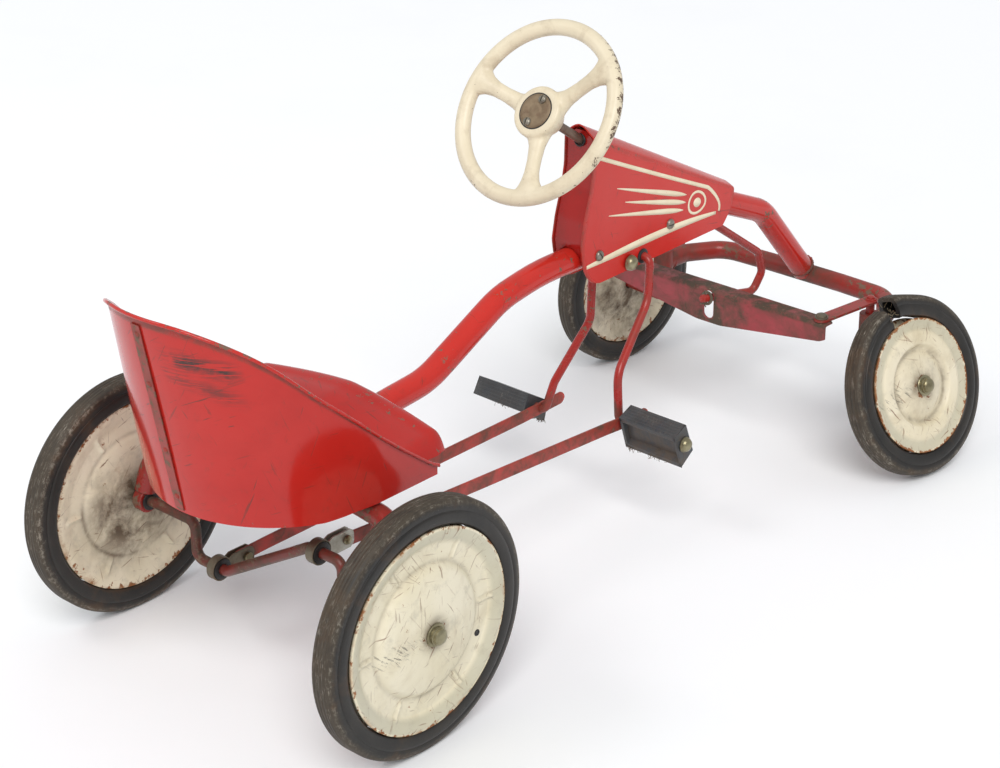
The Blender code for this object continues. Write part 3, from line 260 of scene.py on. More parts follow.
def floor_material():
    s = Shader("floor_paper")
    smudge = s.band(s.noise(2.2, 6.0, 0.6), 0.50, 0.80)
    speck = s.band(s.noise(38.0, 8.0, 0.75, 0.6), 0.705, 0.76)
    colour = s.mix(s.times(smudge, 0.35), rgb(0.955, 0.966, 0.985), rgb(0.885, 0.895, 0.915))
    colour = s.mix(s.times(speck, 0.30), colour, rgb(0.62, 0.56, 0.50))
    return s.finish(colour, 0.75, height=s.noise(160.0, 3.0), strength=0.08, distance=0.0003)


def scratches(s, amount, scale=1.0, turns=((0.5, 0.2, 0.9), (1.1, -0.7, 0.1), (-0.4, 1.2, 0.5))):
    """Short scratch lines in a few leaning directions, broken up by masks."""
    total = None
    for k, turn in enumerate(turns):
        line = s.noise(1.0, 3.0, 0.5, 0.35, s.stretched((22 * scale, 30 * scale, 420 * scale), turn))
        line = s.band(line, 0.672 - 0.006 * (k % 2), 0.690)
        mask = s.band(s.noise(13.0 + 5 * k, 3.0, 0.5), 0.60 - amount, 0.68)
        part = s.times(line, mask)
        total = part if total is None else s.plus(total, part)
    return total


DISC_TURNS = ((0.3, 0.0, 0.0), (0.95, 0.1, 0.0), (1.65, 0.0, 0.1), (2.2, 0.1, 0.0), (2.8, 0.0, 0.0))


def enamel(name, base, faded_and_sheen, grime_and_shade, wear, chip, gloss, blotch=0.5):
    """Old enamel: paler where it faces up (painted sky reflection), scratched, chipped to brown steel at worn
    edges, darker on down-facing faces (painted shade).
    """
    s = Shader(name)
    tone = s.band(s.noise(9.0, 4.0, 0.55), 0.36, 0.70)
    # painted sky reflection: faces that point up are mixed towards the paler colour, on top of random paler
    # patches of fading
    up = s.band(s.facing(2), 0.10, 1.0)
    fade_and_sheen = s.plus(s.times(tone, 0.30), s.times(up, 0.40))
    colour = s.mix(fade_and_sheen, base, faded_and_sheen)
    deep = rgb(base[0] * 0.66, base[1] * 0.55, base[2] * 0.5)
    cloudy = s.band(s.noise(21.0, 6.0, 0.62), 0.46, 0.74)
    colour = s.mix(s.times(cloudy, 0.45 * blotch), colour, deep)
    film = s.band(s.noise(30.0, 8.0, 0.68, 0.4), 0.60 - grime_and_shade * 0.22, 0.80)
    dirt = s.times(film, grime_and_shade)
    # painted shade: faces that point down are darkened towards the dirt colour
    underside_shade = s.times(s.band(s.times(s.facing(2), -1.0), 0.2, 1.0), grime_and_shade * 0.6)
    # per-mesh dirt marks; on the seat wall they also hold the painted shadow beneath the rim
    mess = s.attribute("grime_and_shade")
    heavy = s.times(mess, s.band(s.noise(55.0, 8.0, 0.7, 0.5), 0.28, 0.62))
    colour = s.mix(s.plus(s.plus(dirt, underside_shade), s.times(heavy, 0.9)), colour, DIRT_AND_SHADE)
    lines = scratches(s, wear * 0.24)
    film_spots = s.band(s.noise(85.0, 7.0, 0.74, 0.4), 0.575, 0.70)
    colour = s.mix(s.times(film_spots, 0.20 + 0.4 * grime_and_shade), colour, rgb(0.13, 0.030, 0.020))
    colour = s.mix(s.times(lines, 0.80), colour, rgb(0.10, 0.030, 0.020))
    streak = s.noise(1.0, 6.0, 0.68, 0.35, s.stretched((26.0, 26.0, 520.0)))
    body = s.band(s.noise(42.0, 4.0, 0.6, 0.3), 0.30, 0.50)
    scrape = s.times(s.attribute("scrape"), s.times(s.band(streak, 0.450, 0.495), body))
    colour = s.mix(scrape, colour, rgb(0.038, 0.026, 0.022))
    edge = s.attribute("wear")
    worn = s.band(s.plus(s.noise(120.0, 8.0, 0.72, 0.3), s.times(edge, 0.21)), chip, chip + 0.016)
    worn = s.plus(worn, s.band(s.noise(90.0, 6.0, 0.74, 0.2), 0.715, 0.725))
    colour = s.mix(worn, colour, s.mix(s.noise(200.0, 4.0), STEEL, RUST))
    rough = s.plus(s.times(s.noise(48.0, 6.0, 0.65), 0.14), gloss - 0.06)
    rough = s.plus(rough, s.times(s.plus(s.plus(worn, dirt), heavy), 0.42))
    height = s.minus(s.times(s.noise(26.0, 3.0), 0.55),
                    s.plus(s.times(worn, 0.7), s.times(lines, 0.4)))
    return s.finish(colour, rough, height=height, strength=0.30, distance=0.0004, shine=0.42)


def cream_enamel(name, base, grime_and_shade, rust):
    """Wheel disc paint: yellowed cream with rust specks, brown scratches, rubs and dirt round the hub."""
    s = Shader(name)
    tone = s.band(s.noise(13.0, 5.0, 0.6), 0.35, 0.70)
    colour = s.mix(tone, base, rgb(base[0] * 0.90, base[1] * 0.88, base[2] * 0.80))
    stain = s.band(s.noise(20.0, 7.0, 0.66, 0.5), 0.50, 0.80)
    colour = s.mix(s.times(stain, grime_and_shade), colour, rgb(0.36, 0.27, 0.15))
    shade = s.attribute("shade")
    colour = s.mix(s.times(shade, 0.55), colour, rgb(0.40, 0.385, 0.29))
    grey = s.times(s.band(s.noise(60.0, 8.0, 0.7), 0.54, 0.70), 0.36)
    colour = s.mix(grey, colour, rgb(0.34, 0.31, 0.24))
    lines = scratches(s, 0.21, 0.95, DISC_TURNS)
    colour = s.mix(s.times(lines, 0.9), colour, rgb(0.17, 0.065, 0.03))
    edge = s.attribute("wear")
    speck = s.plus(s.noise(115.0, 7.0, 0.72), s.times(edge, 0.16 * rust * 2))
    speck = s.band(speck, 0.660, 0.682)
    colour = s.mix(speck, colour, s.mix(s.noise(90.0, 3.0), rgb(0.12, 0.045, 0.018), rgb(0.40, 0.15, 0.045)))
    soft = s.band(s.plus(s.noise(34.0, 6.0, 0.7), s.times(edge, 0.20)), 0.64, 0.84)
    colour = s.mix(s.times(soft, 0.8), colour, rgb(0.36, 0.19, 0.085))
    mess = s.attribute("grime_and_shade")
    heavy = s.times(mess, s.band(s.noise(30.0, 8.0, 0.70, 0.25), 0.28, 0.60))
    colour = s.mix(heavy, colour, s.mix(s.noise(70.0, 4.0), rgb(0.05, 0.032, 0.02), rgb(0.16, 0.11, 0.065)))
    rub = s.noise(1.0, 7.0, 0.7, 0.3, s.stretched((60.0, 60.0, 330.0), (0.75, 0.0, 0.0)))
    smudge = s.times(s.attribute("scrape"), s.band(rub, 0.55, 0.60))
    colour = s.mix(s.times(smudge, 0.85), colour, rgb(0.05, 0.045, 0.04))
    rough = s.plus(s.times(s.noise(40.0, 5.0), 0.20), 0.24)
    rough = s.plus(rough, s.times(s.plus(heavy, speck), 0.35))
    height = s.minus(s.times(s.noise(60.0, 3.0), 0.5),
                    s.plus(speck, s.times(lines, 0.5)))
    return s.finish(colour, rough, height=height, strength=0.30, distance=0.0004, shine=0.45)


def wheel_plastic(name):
    """Steering wheel: yellowed cream paint over a dark core that shows through at the chipped edge."""
    s = Shader(name)
    tone = s.band(s.noise(16.0, 5.0, 0.6), 0.35, 0.72)
    colour = s.mix(tone, rgb(0.75, 0.665, 0.495), rgb(0.67, 0.58, 0.415))
    grime_and_shade = s.times(s.band(s.noise(42.0, 7.0, 0.66, 0.4), 0.50, 0.74), 0.42)
    colour = s.mix(grime_and_shade, colour, rgb(0.34, 0.25, 0.15))
    crack = s.band(s.noise(1.0, 6.0, 0.7, 0.8, s.stretched((40, 40, 150), (0.4, 0.2, 0.3))), 0.70, 0.715)
    chip = s.band(s.plus(s.noise(150.0, 8.0, 0.74, 0.4), s.times(s.attribute("wear"), 0.20)),
                  0.715, 0.73)
    marks = s.plus(chip, s.times(crack, 0.55))
    colour = s.mix(marks, colour, rgb(0.11, 0.065, 0.038))
    rough = s.plus(s.times(s.noise(50.0, 5.0), 0.18), 0.28)
    height = s.minus(s.times(s.noise(75.0, 3.0), 0.30), chip)
    return s.finish(colour, rough, height=height, strength=0.30, distance=0.0005, shine=0.5)


def rubber(name, base, dusty):
    """Old black rubber: brown-grey dust and scuffs round the tread, rusty stains, fine rings on the walls."""
    s = Shader(name)
    tread = s.attribute("tread")
    tone = s.band(s.noise(22.0, 6.0, 0.65), 0.35, 0.75)
    colour = s.mix(tone, base, rgb(base[0] * 2.2, base[1] * 2.0, base[2] * 1.8))
    streaks = s.noise(1.0, 6.0, 0.66, 0.2, s.rolled(26.0, 520.0))
    cloud = s.noise(34.0, 7.0, 0.68, 0.3)
    dust = s.plus(s.times(s.plus(streaks, cloud), 0.5), s.times(tread, 0.27))
    dust = s.band(dust, 0.58, 0.84)
    colour = s.mix(s.times(dust, dusty), colour, rgb(0.105, 0.078, 0.050))
    scuff = s.noise(1.0, 7.0, 0.72, 0.3, s.rolled(95.0, 900.0))
    pale = s.band(s.plus(scuff, s.times(tread, 0.10)), 0.650, 0.73)
    pale = s.times(pale, s.band(cloud, 0.42, 0.60))
    shoulder = s.plus(s.noise(230.0, 8.0, 0.75, 0.2), s.times(s.attribute("shoulder"), 0.16))
    shoulder = s.times(s.band(shoulder, 0.60, 0.72), s.band(cloud, 0.34, 0.62))
    pale = s.plus(pale, s.times(shoulder, s.attribute("shoulder")))
    colour = s.mix(s.times(pale, 0.75 * dusty), colour, rgb(0.46, 0.42, 0.35))
    ring = s.calc("SINE", s.times(s.attribute("radius"), 5200.0))
    rust = s.plus(s.noise(17.0, 7.0, 0.7, 0.3), s.times(s.attribute("wear"), 0.12))
    rust = s.times(s.band(rust, 0.555, 0.76), 0.85 * dusty)
    colour = s.mix(rust, colour, rgb(0.105, 0.050, 0.018))
    mess = s.times(s.attribute("grime_and_shade"), s.band(s.noise(75.0, 8.0, 0.7, 0.4), 0.30, 0.60))
    colour = s.mix(mess, colour, rgb(0.095, 0.068, 0.046))
    rough = s.plus(s.times(dust, 0.30), 0.40)
    height = s.plus(s.times(s.noise(210.0, 6.0, 0.66), 0.65), s.times(ring, 0.12))
    return s.finish(colour, rough, height=height, strength=0.35, distance=0.0005, shine=0.35)


def old_metal(name, base, dark, rust, rough, metal):
    """Plated or bare steel gone dull: dark stains, brown rust and fine pits."""
    s = Shader(name)
    tone = s.band(s.noise(60.0, 6.0, 0.65), 0.32, 0.72)
    colour = s.mix(tone, base, dark)
    spots = s.band(s.noise(110.0, 8.0, 0.72, 0.4), 0.66 - rust * 0.26, 0.78)
    colour = s.mix(s.times(spots, 0.85), colour, s.mix(s.noise(240.0, 3.0), RUST, DIRT_AND_SHADE))
    shine = s.times(s.minus(1.0, spots), metal)
    roughness = s.plus(s.times(spots, 0.35), rough)
    height = s.minus(s.times(s.noise(330.0, 4.0), 0.4), spots)
    return s.finish(colour, roughness, shine, height=height, strength=0.35, distance=0.0003)


def transfer_paint(name):
    """Cream stripe paint on the hood, thin and rubbed through in places."""
    s = Shader(name)
    rub = s.band(s.noise(150.0, 8.0, 0.72, 0.3), 0.66, 0.72)
    tone = s.band(s.noise(40.0, 5.0), 0.35, 0.70)
    colour = s.mix(tone, rgb(0.86, 0.76, 0.56), rgb(0.78, 0.66, 0.46))
    colour = s.mix(rub, colour, rgb(0.50, 0.08, 0.05))
    return s.finish(colour, s.plus(s.times(tone, 0.15), 0.30), height=s.noise(200.0, 3.0),
                    strength=0.12, distance=0.0002)


RED, RED_FADED_AND_SHEEN = rgb(0.48, 0.016, 0.011), rgb(0.55, 0.044, 0.034)
# red paints: base, pale colour for random fading and for the painted sky reflection on upward faces, then
# dirt amount (it also scales the painted shade on down-facing faces), wear, chip threshold, gloss and
# blotchiness
RED_PAINTS = {
    "seat": ("enamel_seat", RED, RED_FADED_AND_SHEEN, 0.10, 0.80, 0.735, 0.12, 0.6),
    # painted shade: the seat pan is a darker copy of the seat red, for the shade inside the seat
    "pan": ("enamel_pan_shaded", rgb(0.41, 0.011, 0.008), rgb(0.46, 0.026, 0.019), 0.16, 0.60, 0.745, 0.10, 0.5),
    "tube": ("enamel_tube", rgb(0.52, 0.018, 0.011), rgb(0.58, 0.038, 0.026), 0.20, 0.60, 0.765, 0.13, 0.3),
    "hood": ("enamel_hood", rgb(0.56, 0.018, 0.011), rgb(0.60, 0.090, 0.075), 0.08, 0.50, 0.730, 0.22, 0.2),
    # painted shade: the hood's rear panel gets a darker copy of the hood red
    "hood_shaded": ("enamel_hood_rear", rgb(0.34, 0.010, 0.008), rgb(0.44, 0.022, 0.016), 0.25, 0.60, 0.735,
                  0.20, 0.6),
    "dark": ("enamel_grimy", rgb(0.27, 0.014, 0.011), rgb(0.34, 0.045, 0.034), 0.55, 0.60, 0.690, 0.28),
    "cross": ("enamel_cross", rgb(0.29, 0.016, 0.012), rgb(0.33, 0.042, 0.030), 0.80, 0.60, 0.715, 0.26),
    "crank": ("enamel_crank", rgb(0.20, 0.010, 0.010), rgb(0.29, 0.028, 0.023), 0.80, 0.60, 0.730, 0.18),
    "arm": ("enamel_arm", rgb(0.34, 0.018, 0.014), rgb(0.42, 0.050, 0.038), 0.50, 0.55, 0.690, 0.24),
    "rod": ("enamel_rod", rgb(0.50, 0.022, 0.015), rgb(0.56, 0.075, 0.058), 0.34, 0.70, 0.715, 0.24, 0.4),
    "tie": ("enamel_tie", rgb(0.38, 0.045, 0.055), rgb(0.46, 0.110, 0.120), 0.95, 0.80, 0.680, 0.28),
    "seam": ("enamel_seam", rgb(0.30, 0.026, 0.018), rgb(0.32, 0.045, 0.030), 0.70, 0.80, 0.650, 0.34),
}
# metals: base, dark stain, then rust, roughness and metallic share
METALS = {
    "cap": ("cap_metal", rgb(0.33, 0.30, 0.19), rgb(0.16, 0.135, 0.075), 0.22, 0.30, 0.75),
    "plate": ("hub_plate_metal", rgb(0.26, 0.19, 0.115), rgb(0.15, 0.098, 0.055), 0.55, 0.46, 0.35),
    "screw": ("screw_metal", rgb(0.34, 0.32, 0.27), rgb(0.13, 0.11, 0.085), 0.38, 0.34, 0.6),
    "bare": ("column_metal", rgb(0.22, 0.155, 0.115), rgb(0.12, 0.08, 0.06), 0.45, 0.42, 0.55),
    "zinc": ("strap_zinc", rgb(0.56, 0.57, 0.52), rgb(0.30, 0.28, 0.22), 0.42, 0.40, 0.6),
    "strap": ("strap_brown", rgb(0.19, 0.165, 0.115), rgb(0.095, 0.075, 0.052), 0.60, 0.46, 0.5),
    "fluff": ("fluff_brown", rgb(0.17, 0.125, 0.080), rgb(0.075, 0.052, 0.035), 0.25, 0.85, 0.0),
    "fibre": ("fibre_straw", rgb(0.36, 0.29, 0.18), rgb(0.20, 0.15, 0.09), 0.10, 0.80, 0.0),
}
MATS = {}


def build_materials():
    for key, settings in RED_PAINTS.items():
        MATS[key] = enamel(*settings)
    for key, settings in METALS.items():
        MATS[key] = old_metal(*settings)
    MATS["disc"] = cream_enamel("disc_cream", rgb(0.75, 0.69, 0.535), 0.42, 0.5)
    MATS["disc_front"] = cream_enamel("disc_cream_front", rgb(0.74, 0.665, 0.505), 0.66, 0.85)
    # painted light: the back discs get paler cream than the outer discs, to make up for the shade they sit in
    MATS["disc_back_lit"] = cream_enamel("disc_cream_back_lit", rgb(0.78, 0.705, 0.55), 0.50, 0.6)
    MATS["wheel"] = wheel_plastic("steering_cream")
    MATS["tyre"] = rubber("tyre_rubber", rgb(0.0135, 0.0125, 0.0115), 0.60)
    MATS["pedal"] = rubber("pedal_rubber", rgb(0.036, 0.044, 0.054), 0.42)
    MATS["bush"] = rubber("bush_black", rgb(0.014, 0.014, 0.015), 0.30)
    MATS["stripe"] = transfer_paint("stripe_cream")


# ---- mesh tools ----------------------------------------------------------------------------
def settle(mesh):
    """Weld doubled points and turn every face outwards."""
    bm = bmesh.new()
    bm.from_mesh(mesh)
    bmesh.ops.remove_doubles(bm, verts=bm.verts, dist=1e-6)
    bmesh.ops.recalc_face_normals(bm, faces=bm.faces)
    bm.to_mesh(mesh)
    bm.free()


def piece(name, verts, faces, material, body, replaces=None, slot=None, wear=0.0, attributes=None, sharp=38.0,
          bevel=0.0, place=None):
    """Mesh piece in the row frame that rides on a body and stands for CAD nodes."""
    mesh = bpy.data.meshes.new(name)
    mesh.from_pydata([tuple(v) for v in verts], [], faces)
    for key, values in {"wear": wear, **(attributes or {})}.items():
        layer = mesh.attributes.new(key, "FLOAT", "POINT")
        layer.data.foreach_set("value", np.full(len(verts), values, np.float32))
    if place is not None:
        mesh.transform(place)
    mesh.transform(Matrix.Translation(SHIFT))
    settle(mesh)
    mesh.polygons.foreach_set("use_smooth", [True] * len(mesh.polygons))
    mesh.set_sharp_from_angle(angle=math.radians(sharp))
    obj = bpy.data.objects.new(name, mesh)
    bpy.context.scene.collection.objects.link(obj)
    mesh.materials.append(MATS[material])
    if bevel:
        mod = obj.modifiers.new("edges", "BEVEL")
        mod.width, mod.segments, mod.limit_method, mod.angle_limit = bevel, 3, "ANGLE", math.radians(32)
    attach(obj, body)
    if replaces:
        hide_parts(replaces)
    return obj


def second_paint(obj, material, chosen):
    """Give the faces that are chosen by their place in the car frame another material."""
    obj.data.materials.append(MATS[material])
    for face in obj.data.polygons:
        face.material_index = int(chosen(face.center - SHIFT))


def bell(x, width, power=2):
    """1 at x = 0, falling off over the given width."""
    return math.exp(-(x / width) ** power)


def arc_path(points, radius, step=6.0):
    """Polyline with its corners rounded by arcs."""
    pts = [Vector(p) for p in points]
    out = [pts[0]]
    for i in range(1, len(pts) - 1):
        a, b, c = pts[i - 1], pts[i], pts[i + 1]
        u, v = (a - b).normalized(), (c - b).normalized()
        turn = math.pi - u.angle(v)
        if turn < 0.02:
            out.append(b)
            continue
        rad = radius[i - 1] if isinstance(radius, (list, tuple)) else radius
        cut = min(rad * math.tan(turn / 2), 0.49 * min((a - b).length, (c - b).length))
        rad = cut / math.tan(turn / 2)
        centre = b + (u + v).normalized() * (rad / math.cos(turn / 2))
        start = b + u * cut - centre
        axis = start.cross(b + v * cut - centre).normalized()
        count = max(3, math.ceil(math.degrees(turn) / step))
        out += [centre + Matrix.Rotation(turn * k / count, 4, axis) @ start for k in range(count + 1)]
    return out + [pts[-1]]


def densify(path, gap):
    """Extra points so that no stretch of the path is longer than gap."""
    out = [path[0]]
    for a, b in zip(path, path[1:]):
        n = max(1, math.ceil((b - a).length / gap))
        out += [a.lerp(b, k / n) for k in range(1, n + 1)]
    return out


def sweep(path, section, up=(0, 0, 1)):
    """Verts and faces of a section (one loop, or one loop per path point) swept along a path."""
    per_point = isinstance(section[0][0], (list, tuple))
    n = len(section[0]) if per_point else len(section)
    tangents = []
    for i in range(len(path)):
        before = (path[i] - path[i - 1]).normalized() if i > 0 else Vector((0, 0, 0))
        after = (path[i + 1] - path[i]).normalized() if i < len(path) - 1 else Vector((0, 0, 0))
        tangents.append((before + after).normalized())
    side = tangents[0].cross(Vector(up)).normalized()
    verts = []
    for i, t in enumerate(tangents):
        side = (side - t * side.dot(t)).normalized()
        lift = side.cross(t).normalized()
        for a, b in (section[i] if per_point else section):
            verts.append(path[i] + side * a + lift * b)
    faces = grid_faces(len(path), n, round_m=False)
    return verts, faces + [tuple(range(n))[::-1], tuple(range((len(path) - 1) * n, len(path) * n))]


def grid_faces(m, n, round_m=True, round_n=True):
    """Quads of an m by n grid of points, closed on itself in either direction."""
    return [(i * n + k, i * n + (k + 1) % n, (i + 1) % m * n + (k + 1) % n, (i + 1) % m * n + k)
            for i in range(m if round_m else m - 1) for k in range(n if round_n else n - 1)]


def ring(r, n):
    return [(r * math.cos(2 * math.pi * k / n), r * math.sin(2 * math.pi * k / n)) for k in range(n)]


def rounded_rod(path, r, n):
    """Path and sections of a round bar whose ends are slightly domed."""
    start, stop = (path[0] - path[1]).normalized() * r, (path[-1] - path[-2]).normalized() * r
    full = [path[0] + start * 0.40, path[0] + start * 0.28] + path
    full += [path[-1] + stop * 0.28, path[-1] + stop * 0.40]
    radii = [r * 0.55, r * 0.85] + [r] * len(path) + [r * 0.85, r * 0.55]
    return full, [ring(q, n) for q in radii]


def spin(profile, n, closed=True):
    """Verts, faces and (along, radius) of a profile revolved about local X."""
    where = [(a, r, 2 * math.pi * k / n) for k in range(n) for a, r in profile]
    verts = [(a, r * math.cos(t), r * math.sin(t)) for a, r, t in where]
    return verts, grid_faces(n, len(profile), round_n=closed), where


def turned(name, profile, steps, *settings, closed=True, **more):
    """Piece revolved from its profile; the other arguments are piece's."""
    verts, faces, _ = spin(profile, steps, closed)
    return piece(name, verts, faces, *settings, **more)


def smooth_profile(points, count):
    """Even points on a Catmull-Rom curve through the given ones."""
    p = [points[0]] + list(points) + [points[-1]]
    out = []
    spans = len(points) - 1
    for k in range(count + 1):
        u = k * spans / count
        i = min(int(u), spans - 1)
        t = u - i
        quad = []
        for axis in (0, 1):
            a, b, c, d = (p[i + j][axis] for j in range(4))
            quad.append(0.5 * (2 * b + (c - a) * t + (2 * a - 5 * b + 4 * c - d) * t * t
                               + (3 * b - a - 3 * c + d) * t ** 3))
        out.append(tuple(quad))
    return out


def outward(centre, direction):
    """Frame at a centre whose X points along the direction and whose Y lies level."""
    x = Vector(direction).normalized()
    y = Vector((0, 0, 1)).cross(x).normalized()
    return Matrix.Translation(centre) @ Matrix((x, y, x.cross(y))).transposed().to_4x4()


def turn_about(point, axis, angle):
    return Matrix.Translation(point) @ Matrix.Rotation(angle, 4,
                                                       Vector(axis)) @ Matrix.Translation(-Vector(point))


def bridge(first, second):
    """Closed body between two matching loops of points."""
    n = len(first)
    faces = [(k, (k + 1) % n, n + (k + 1) % n, n + k) for k in range(n)]
    return first + second, faces + [tuple(range(n))[::-1], tuple(range(n, 2 * n))]


def prism_mesh(outline, x0, x1):
    """Outline in (y, z) drawn out along X."""
    return bridge([(x0, y, z) for y, z in outline], [(x1, y, z) for y, z in outline])


def joined(parts):
    """One mesh from several (verts, faces) pairs."""
    verts, faces = [], []
    for v, f in parts:
        faces += [tuple(i + len(verts) for i in face) for face in f]
        verts += list(v)
    return verts, faces


def moved(part, matrix):
    return [matrix @ Vector(v) for v in part[0]], part[1]


def sheet_mesh(rows, thickness):
    """Closed sheet of even thickness centred on a grid of points."""
    m, n = len(rows), len(rows[0])
    front, back = [], []
    for i in range(m):
        for j in range(n):
            du = rows[i][min(j + 1, n - 1)] - rows[i][max(j - 1, 0)]
            dv = rows[min(i + 1, m - 1)][j] - rows[max(i - 1, 0)][j]
            normal = du.cross(dv).normalized()
            front.append(rows[i][j] + normal * thickness / 2)
            back.append(rows[i][j] - normal * thickness / 2)
    total, faces = m * n, []
    for i in range(m - 1):
        for j in range(n - 1):
            a, b, c, d = i * n + j, i * n + j + 1, (i + 1) * n + j + 1, (i + 1) * n + j
            faces += [(a, b, c, d), (total + d, total + c, total + b, total + a)]
    edge = list(range(n)) + [i * n + n - 1 for i in range(1, m)]
    edge += [(m - 1) * n + j for j in range(n - 2, -1, -1)] + [i * n for i in range(m - 2, 0, -1)]
    for k in range(len(edge)):
        a, b = edge[k], edge[(k + 1) % len(edge)]
        faces.append((a, b, total + b, total + a))
    return front + back, faces


# ---- placed frames -------------------------------------------------------------------------
KINGPIN = {"right": Vector((-KINGPIN_X, KINGPIN_Y, 0)), "left": Vector((KINGPIN_X, KINGPIN_Y, 0))}
STEER = {side: turn_about(KINGPIN[side], (0, 0, 1), STEER_REST) for side in KINGPIN}
TIE_MOVE = Matrix.Translation(Vector((-ARM_LENGTH * math.sin(STEER_REST), 0, 0)))
COLUMN_TURN = turn_about(COLUMN_TOP, COLUMN_AXIS, COLUMN_REST)
FRONT_EDGE = ((0.0135, FRONT_RIM + 0.008), (0.0122, FRONT_R - 0.0048), (0.0072, FRONT_R))


def front_centre(side):
    """Centre of a front wheel before steering, and its outward direction."""
    sign, tilt = (-1 if side == "right" else 1), CAMBER[side]
    height = max(r * math.cos(tilt) + a * math.sin(tilt) for a, r in FRONT_EDGE)
    centre = Vector((sign * (KINGPIN_X + SPINDLE_OUT), KINGPIN_Y, height))
    return centre, Vector((sign * math.cos(tilt), 0, math.sin(tilt)))


# ---- frame tubes ---------------------------------------------------------------------------
def tube_wear(verts, every=0.09, phase=0.0):
    """More wear on the upper side of a tube, in patches along it."""
    return [0.35 + 0.65 * max(0.0, math.sin((v[1] + phase) / every * 6.28) * math.cos(v[0] * 31))
            for v in verts]


def weld_bead(centre, axis, r, bead=0.0022, seed=1):
    """Lumpy ring of weld metal round a joint."""
    rng = random.Random(seed)
    n, m = 72, 8
    place = outward(centre, axis)
    sizes = [bead * (0.75 + 0.5 * rng.random()) for _ in range(n)]
    verts = []
    for i in range(n):
        t = 2 * math.pi * i / n
        for k in range(m):
            w = 2 * math.pi * k / m
            rad = r + sizes[i] * math.cos(w)
            verts.append(place @ Vector((sizes[i] * math.sin(w), rad * math.cos(t), rad * math.sin(t))))
    return verts, grid_faces(n, m)


def build_frame():
    """Main tube, rear fork, front cross tube with kingpin sleeves, and the axle bushes."""
    points = [(0, -0.034, 0.2088), (0, -0.165, 0.2300), (0, -0.225, 0.2350), (0, -0.335, 0.2890),
              (0, -0.395, 0.2985), (0, -0.690, 0.2985), (0, -0.790, 0.2560), (0, -0.882, 0.1540)]
    path = densify(arc_path(points, [0.30, 0.10, 0.12, 0.30, 0.10, 0.07], 4.0), 0.012)
    verts, faces = sweep(path, ring(MAIN_R, 40), (1, 0, 0))
    weld = Vector((0, -0.878, 0.160))
    grime_and_shade = [0.9 * bell((v - weld).length, 0.020) + 0.5 * bell(v.y, 0.06) for v in verts]
    piece("main_tube_look", verts, faces, "tube", "frame", "main_tube", "red_paint",
          attributes={"wear": tube_wear(verts), "grime_and_shade": grime_and_shade})

    half = [(0.178, 0.0, 0.137), (0.174, -0.007, 0.168), (0.146, -0.026, 0.203), (0.09, -0.030, 0.207)]
    points = [(-x, y, z) for x, y, z in half] + half[::-1]
    path = densify(arc_path(points, [0.10, 0.045, 0.30, 0.30, 0.045, 0.10], 4.0), 0.012)
    parts = [sweep(path, ring(SMALL_R, 32), (0, 1, 0))]
    eye = [(-0.0062, 0.0078), (-0.0062, 0.0124), (-0.0052, 0.0134), (0.0050, 0.0134), (0.0060, 0.0124),
           (0.0060, 0.0078)]
    for side, sign in SIDES:
        parts.append(moved(spin(eye, 40)[:2], outward((sign * 0.1785, 0, REAR_R), (sign, 0, 0))))
    parts.append(weld_bead((0, -0.0415, 0.2100), (0, -1, 0.16), MAIN_R * 0.93, 0.0018, 3))
    verts, faces = joined(parts)
    piece("rear_fork_look", verts, faces, "dark", "frame", "rear_fork_tube", "red_paint_dark",
          wear=tube_wear(verts, 0.05))

    half = [(KINGPIN_X, KINGPIN_Y - 0.002, 0.149), (KINGPIN_X - 0.003, -0.838, 0.150),
            (0.118, -0.882, 0.150), (0.05, -0.885, 0.150)]
    points = [(-x, y, z) for x, y, z in half] + half[::-1]
    path = densify(arc_path(points, [0.03, 0.035, 0.30, 0.30, 0.035, 0.03], 4.0), 0.010)
    parts = [sweep(path, ring(SMALL_R, 32))]
    sleeve = [(-0.0210, 0.0056), (-0.0210, 0.0112), (-0.0202, 0.0119), (0.0202, 0.0119), (0.0210, 0.0112),
              (0.0210, 0.0056)]
    upright = Matrix.Rotation(-math.pi / 2, 4, "Y")
    for side, pin in KINGPIN.items():
        parts.append(moved(spin(sleeve, 36)[:2], Matrix.Translation((pin.x, pin.y, 0.1450)) @ upright))
        parts.append(weld_bead((pin.x, pin.y - 0.011, 0.1475), (0, -1, 0.05), SMALL_R * 0.95, 0.0016, 5))
    parts.append(weld_bead((0, -0.8775, 0.1605), (0, 0.62, 0.78), MAIN_R * 1.00, 0.0020, 7))
    verts, faces = joined(parts)
    grime_and_shade = [0.85 * bell((Vector(v) - weld).length, 0.045)
             + 0.6 * bell(abs(v[0]) - KINGPIN_X, 0.02) for v in verts]
    piece("front_cross_look", verts, faces, "cross", "frame", "front_cross_tube", "red_paint_dark",
          attributes={"wear": tube_wear(verts, 0.07, 0.02), "grime_and_shade": grime_and_shade})

    bush = [(0.1700, CRANK_R + 0.0004), (0.1700, 0.0096), (0.1704, 0.0100), (0.1715, 0.0100),
            (0.1719, 0.0075), (0.1851, 0.0075), (0.1855, 0.0071), (0.1855, CRANK_R + 0.0004)]
    for side, sign in SIDES:
        turned("axle_bush_look_" + side, bush, 32, "bush", "frame", "axle_bush_" + side, "black_bush",
               place=outward((0, 0, REAR_R), (sign, 0, 0)))


# ---- seat ----------------------------------------------------------------------------------
SEAT_BACK_Y, SEAT_RADIUS, SEAT_FRONT_Y = 0.1005, 0.130, -0.102
SEAT_CENTRE = SEAT_BACK_Y - SEAT_RADIUS


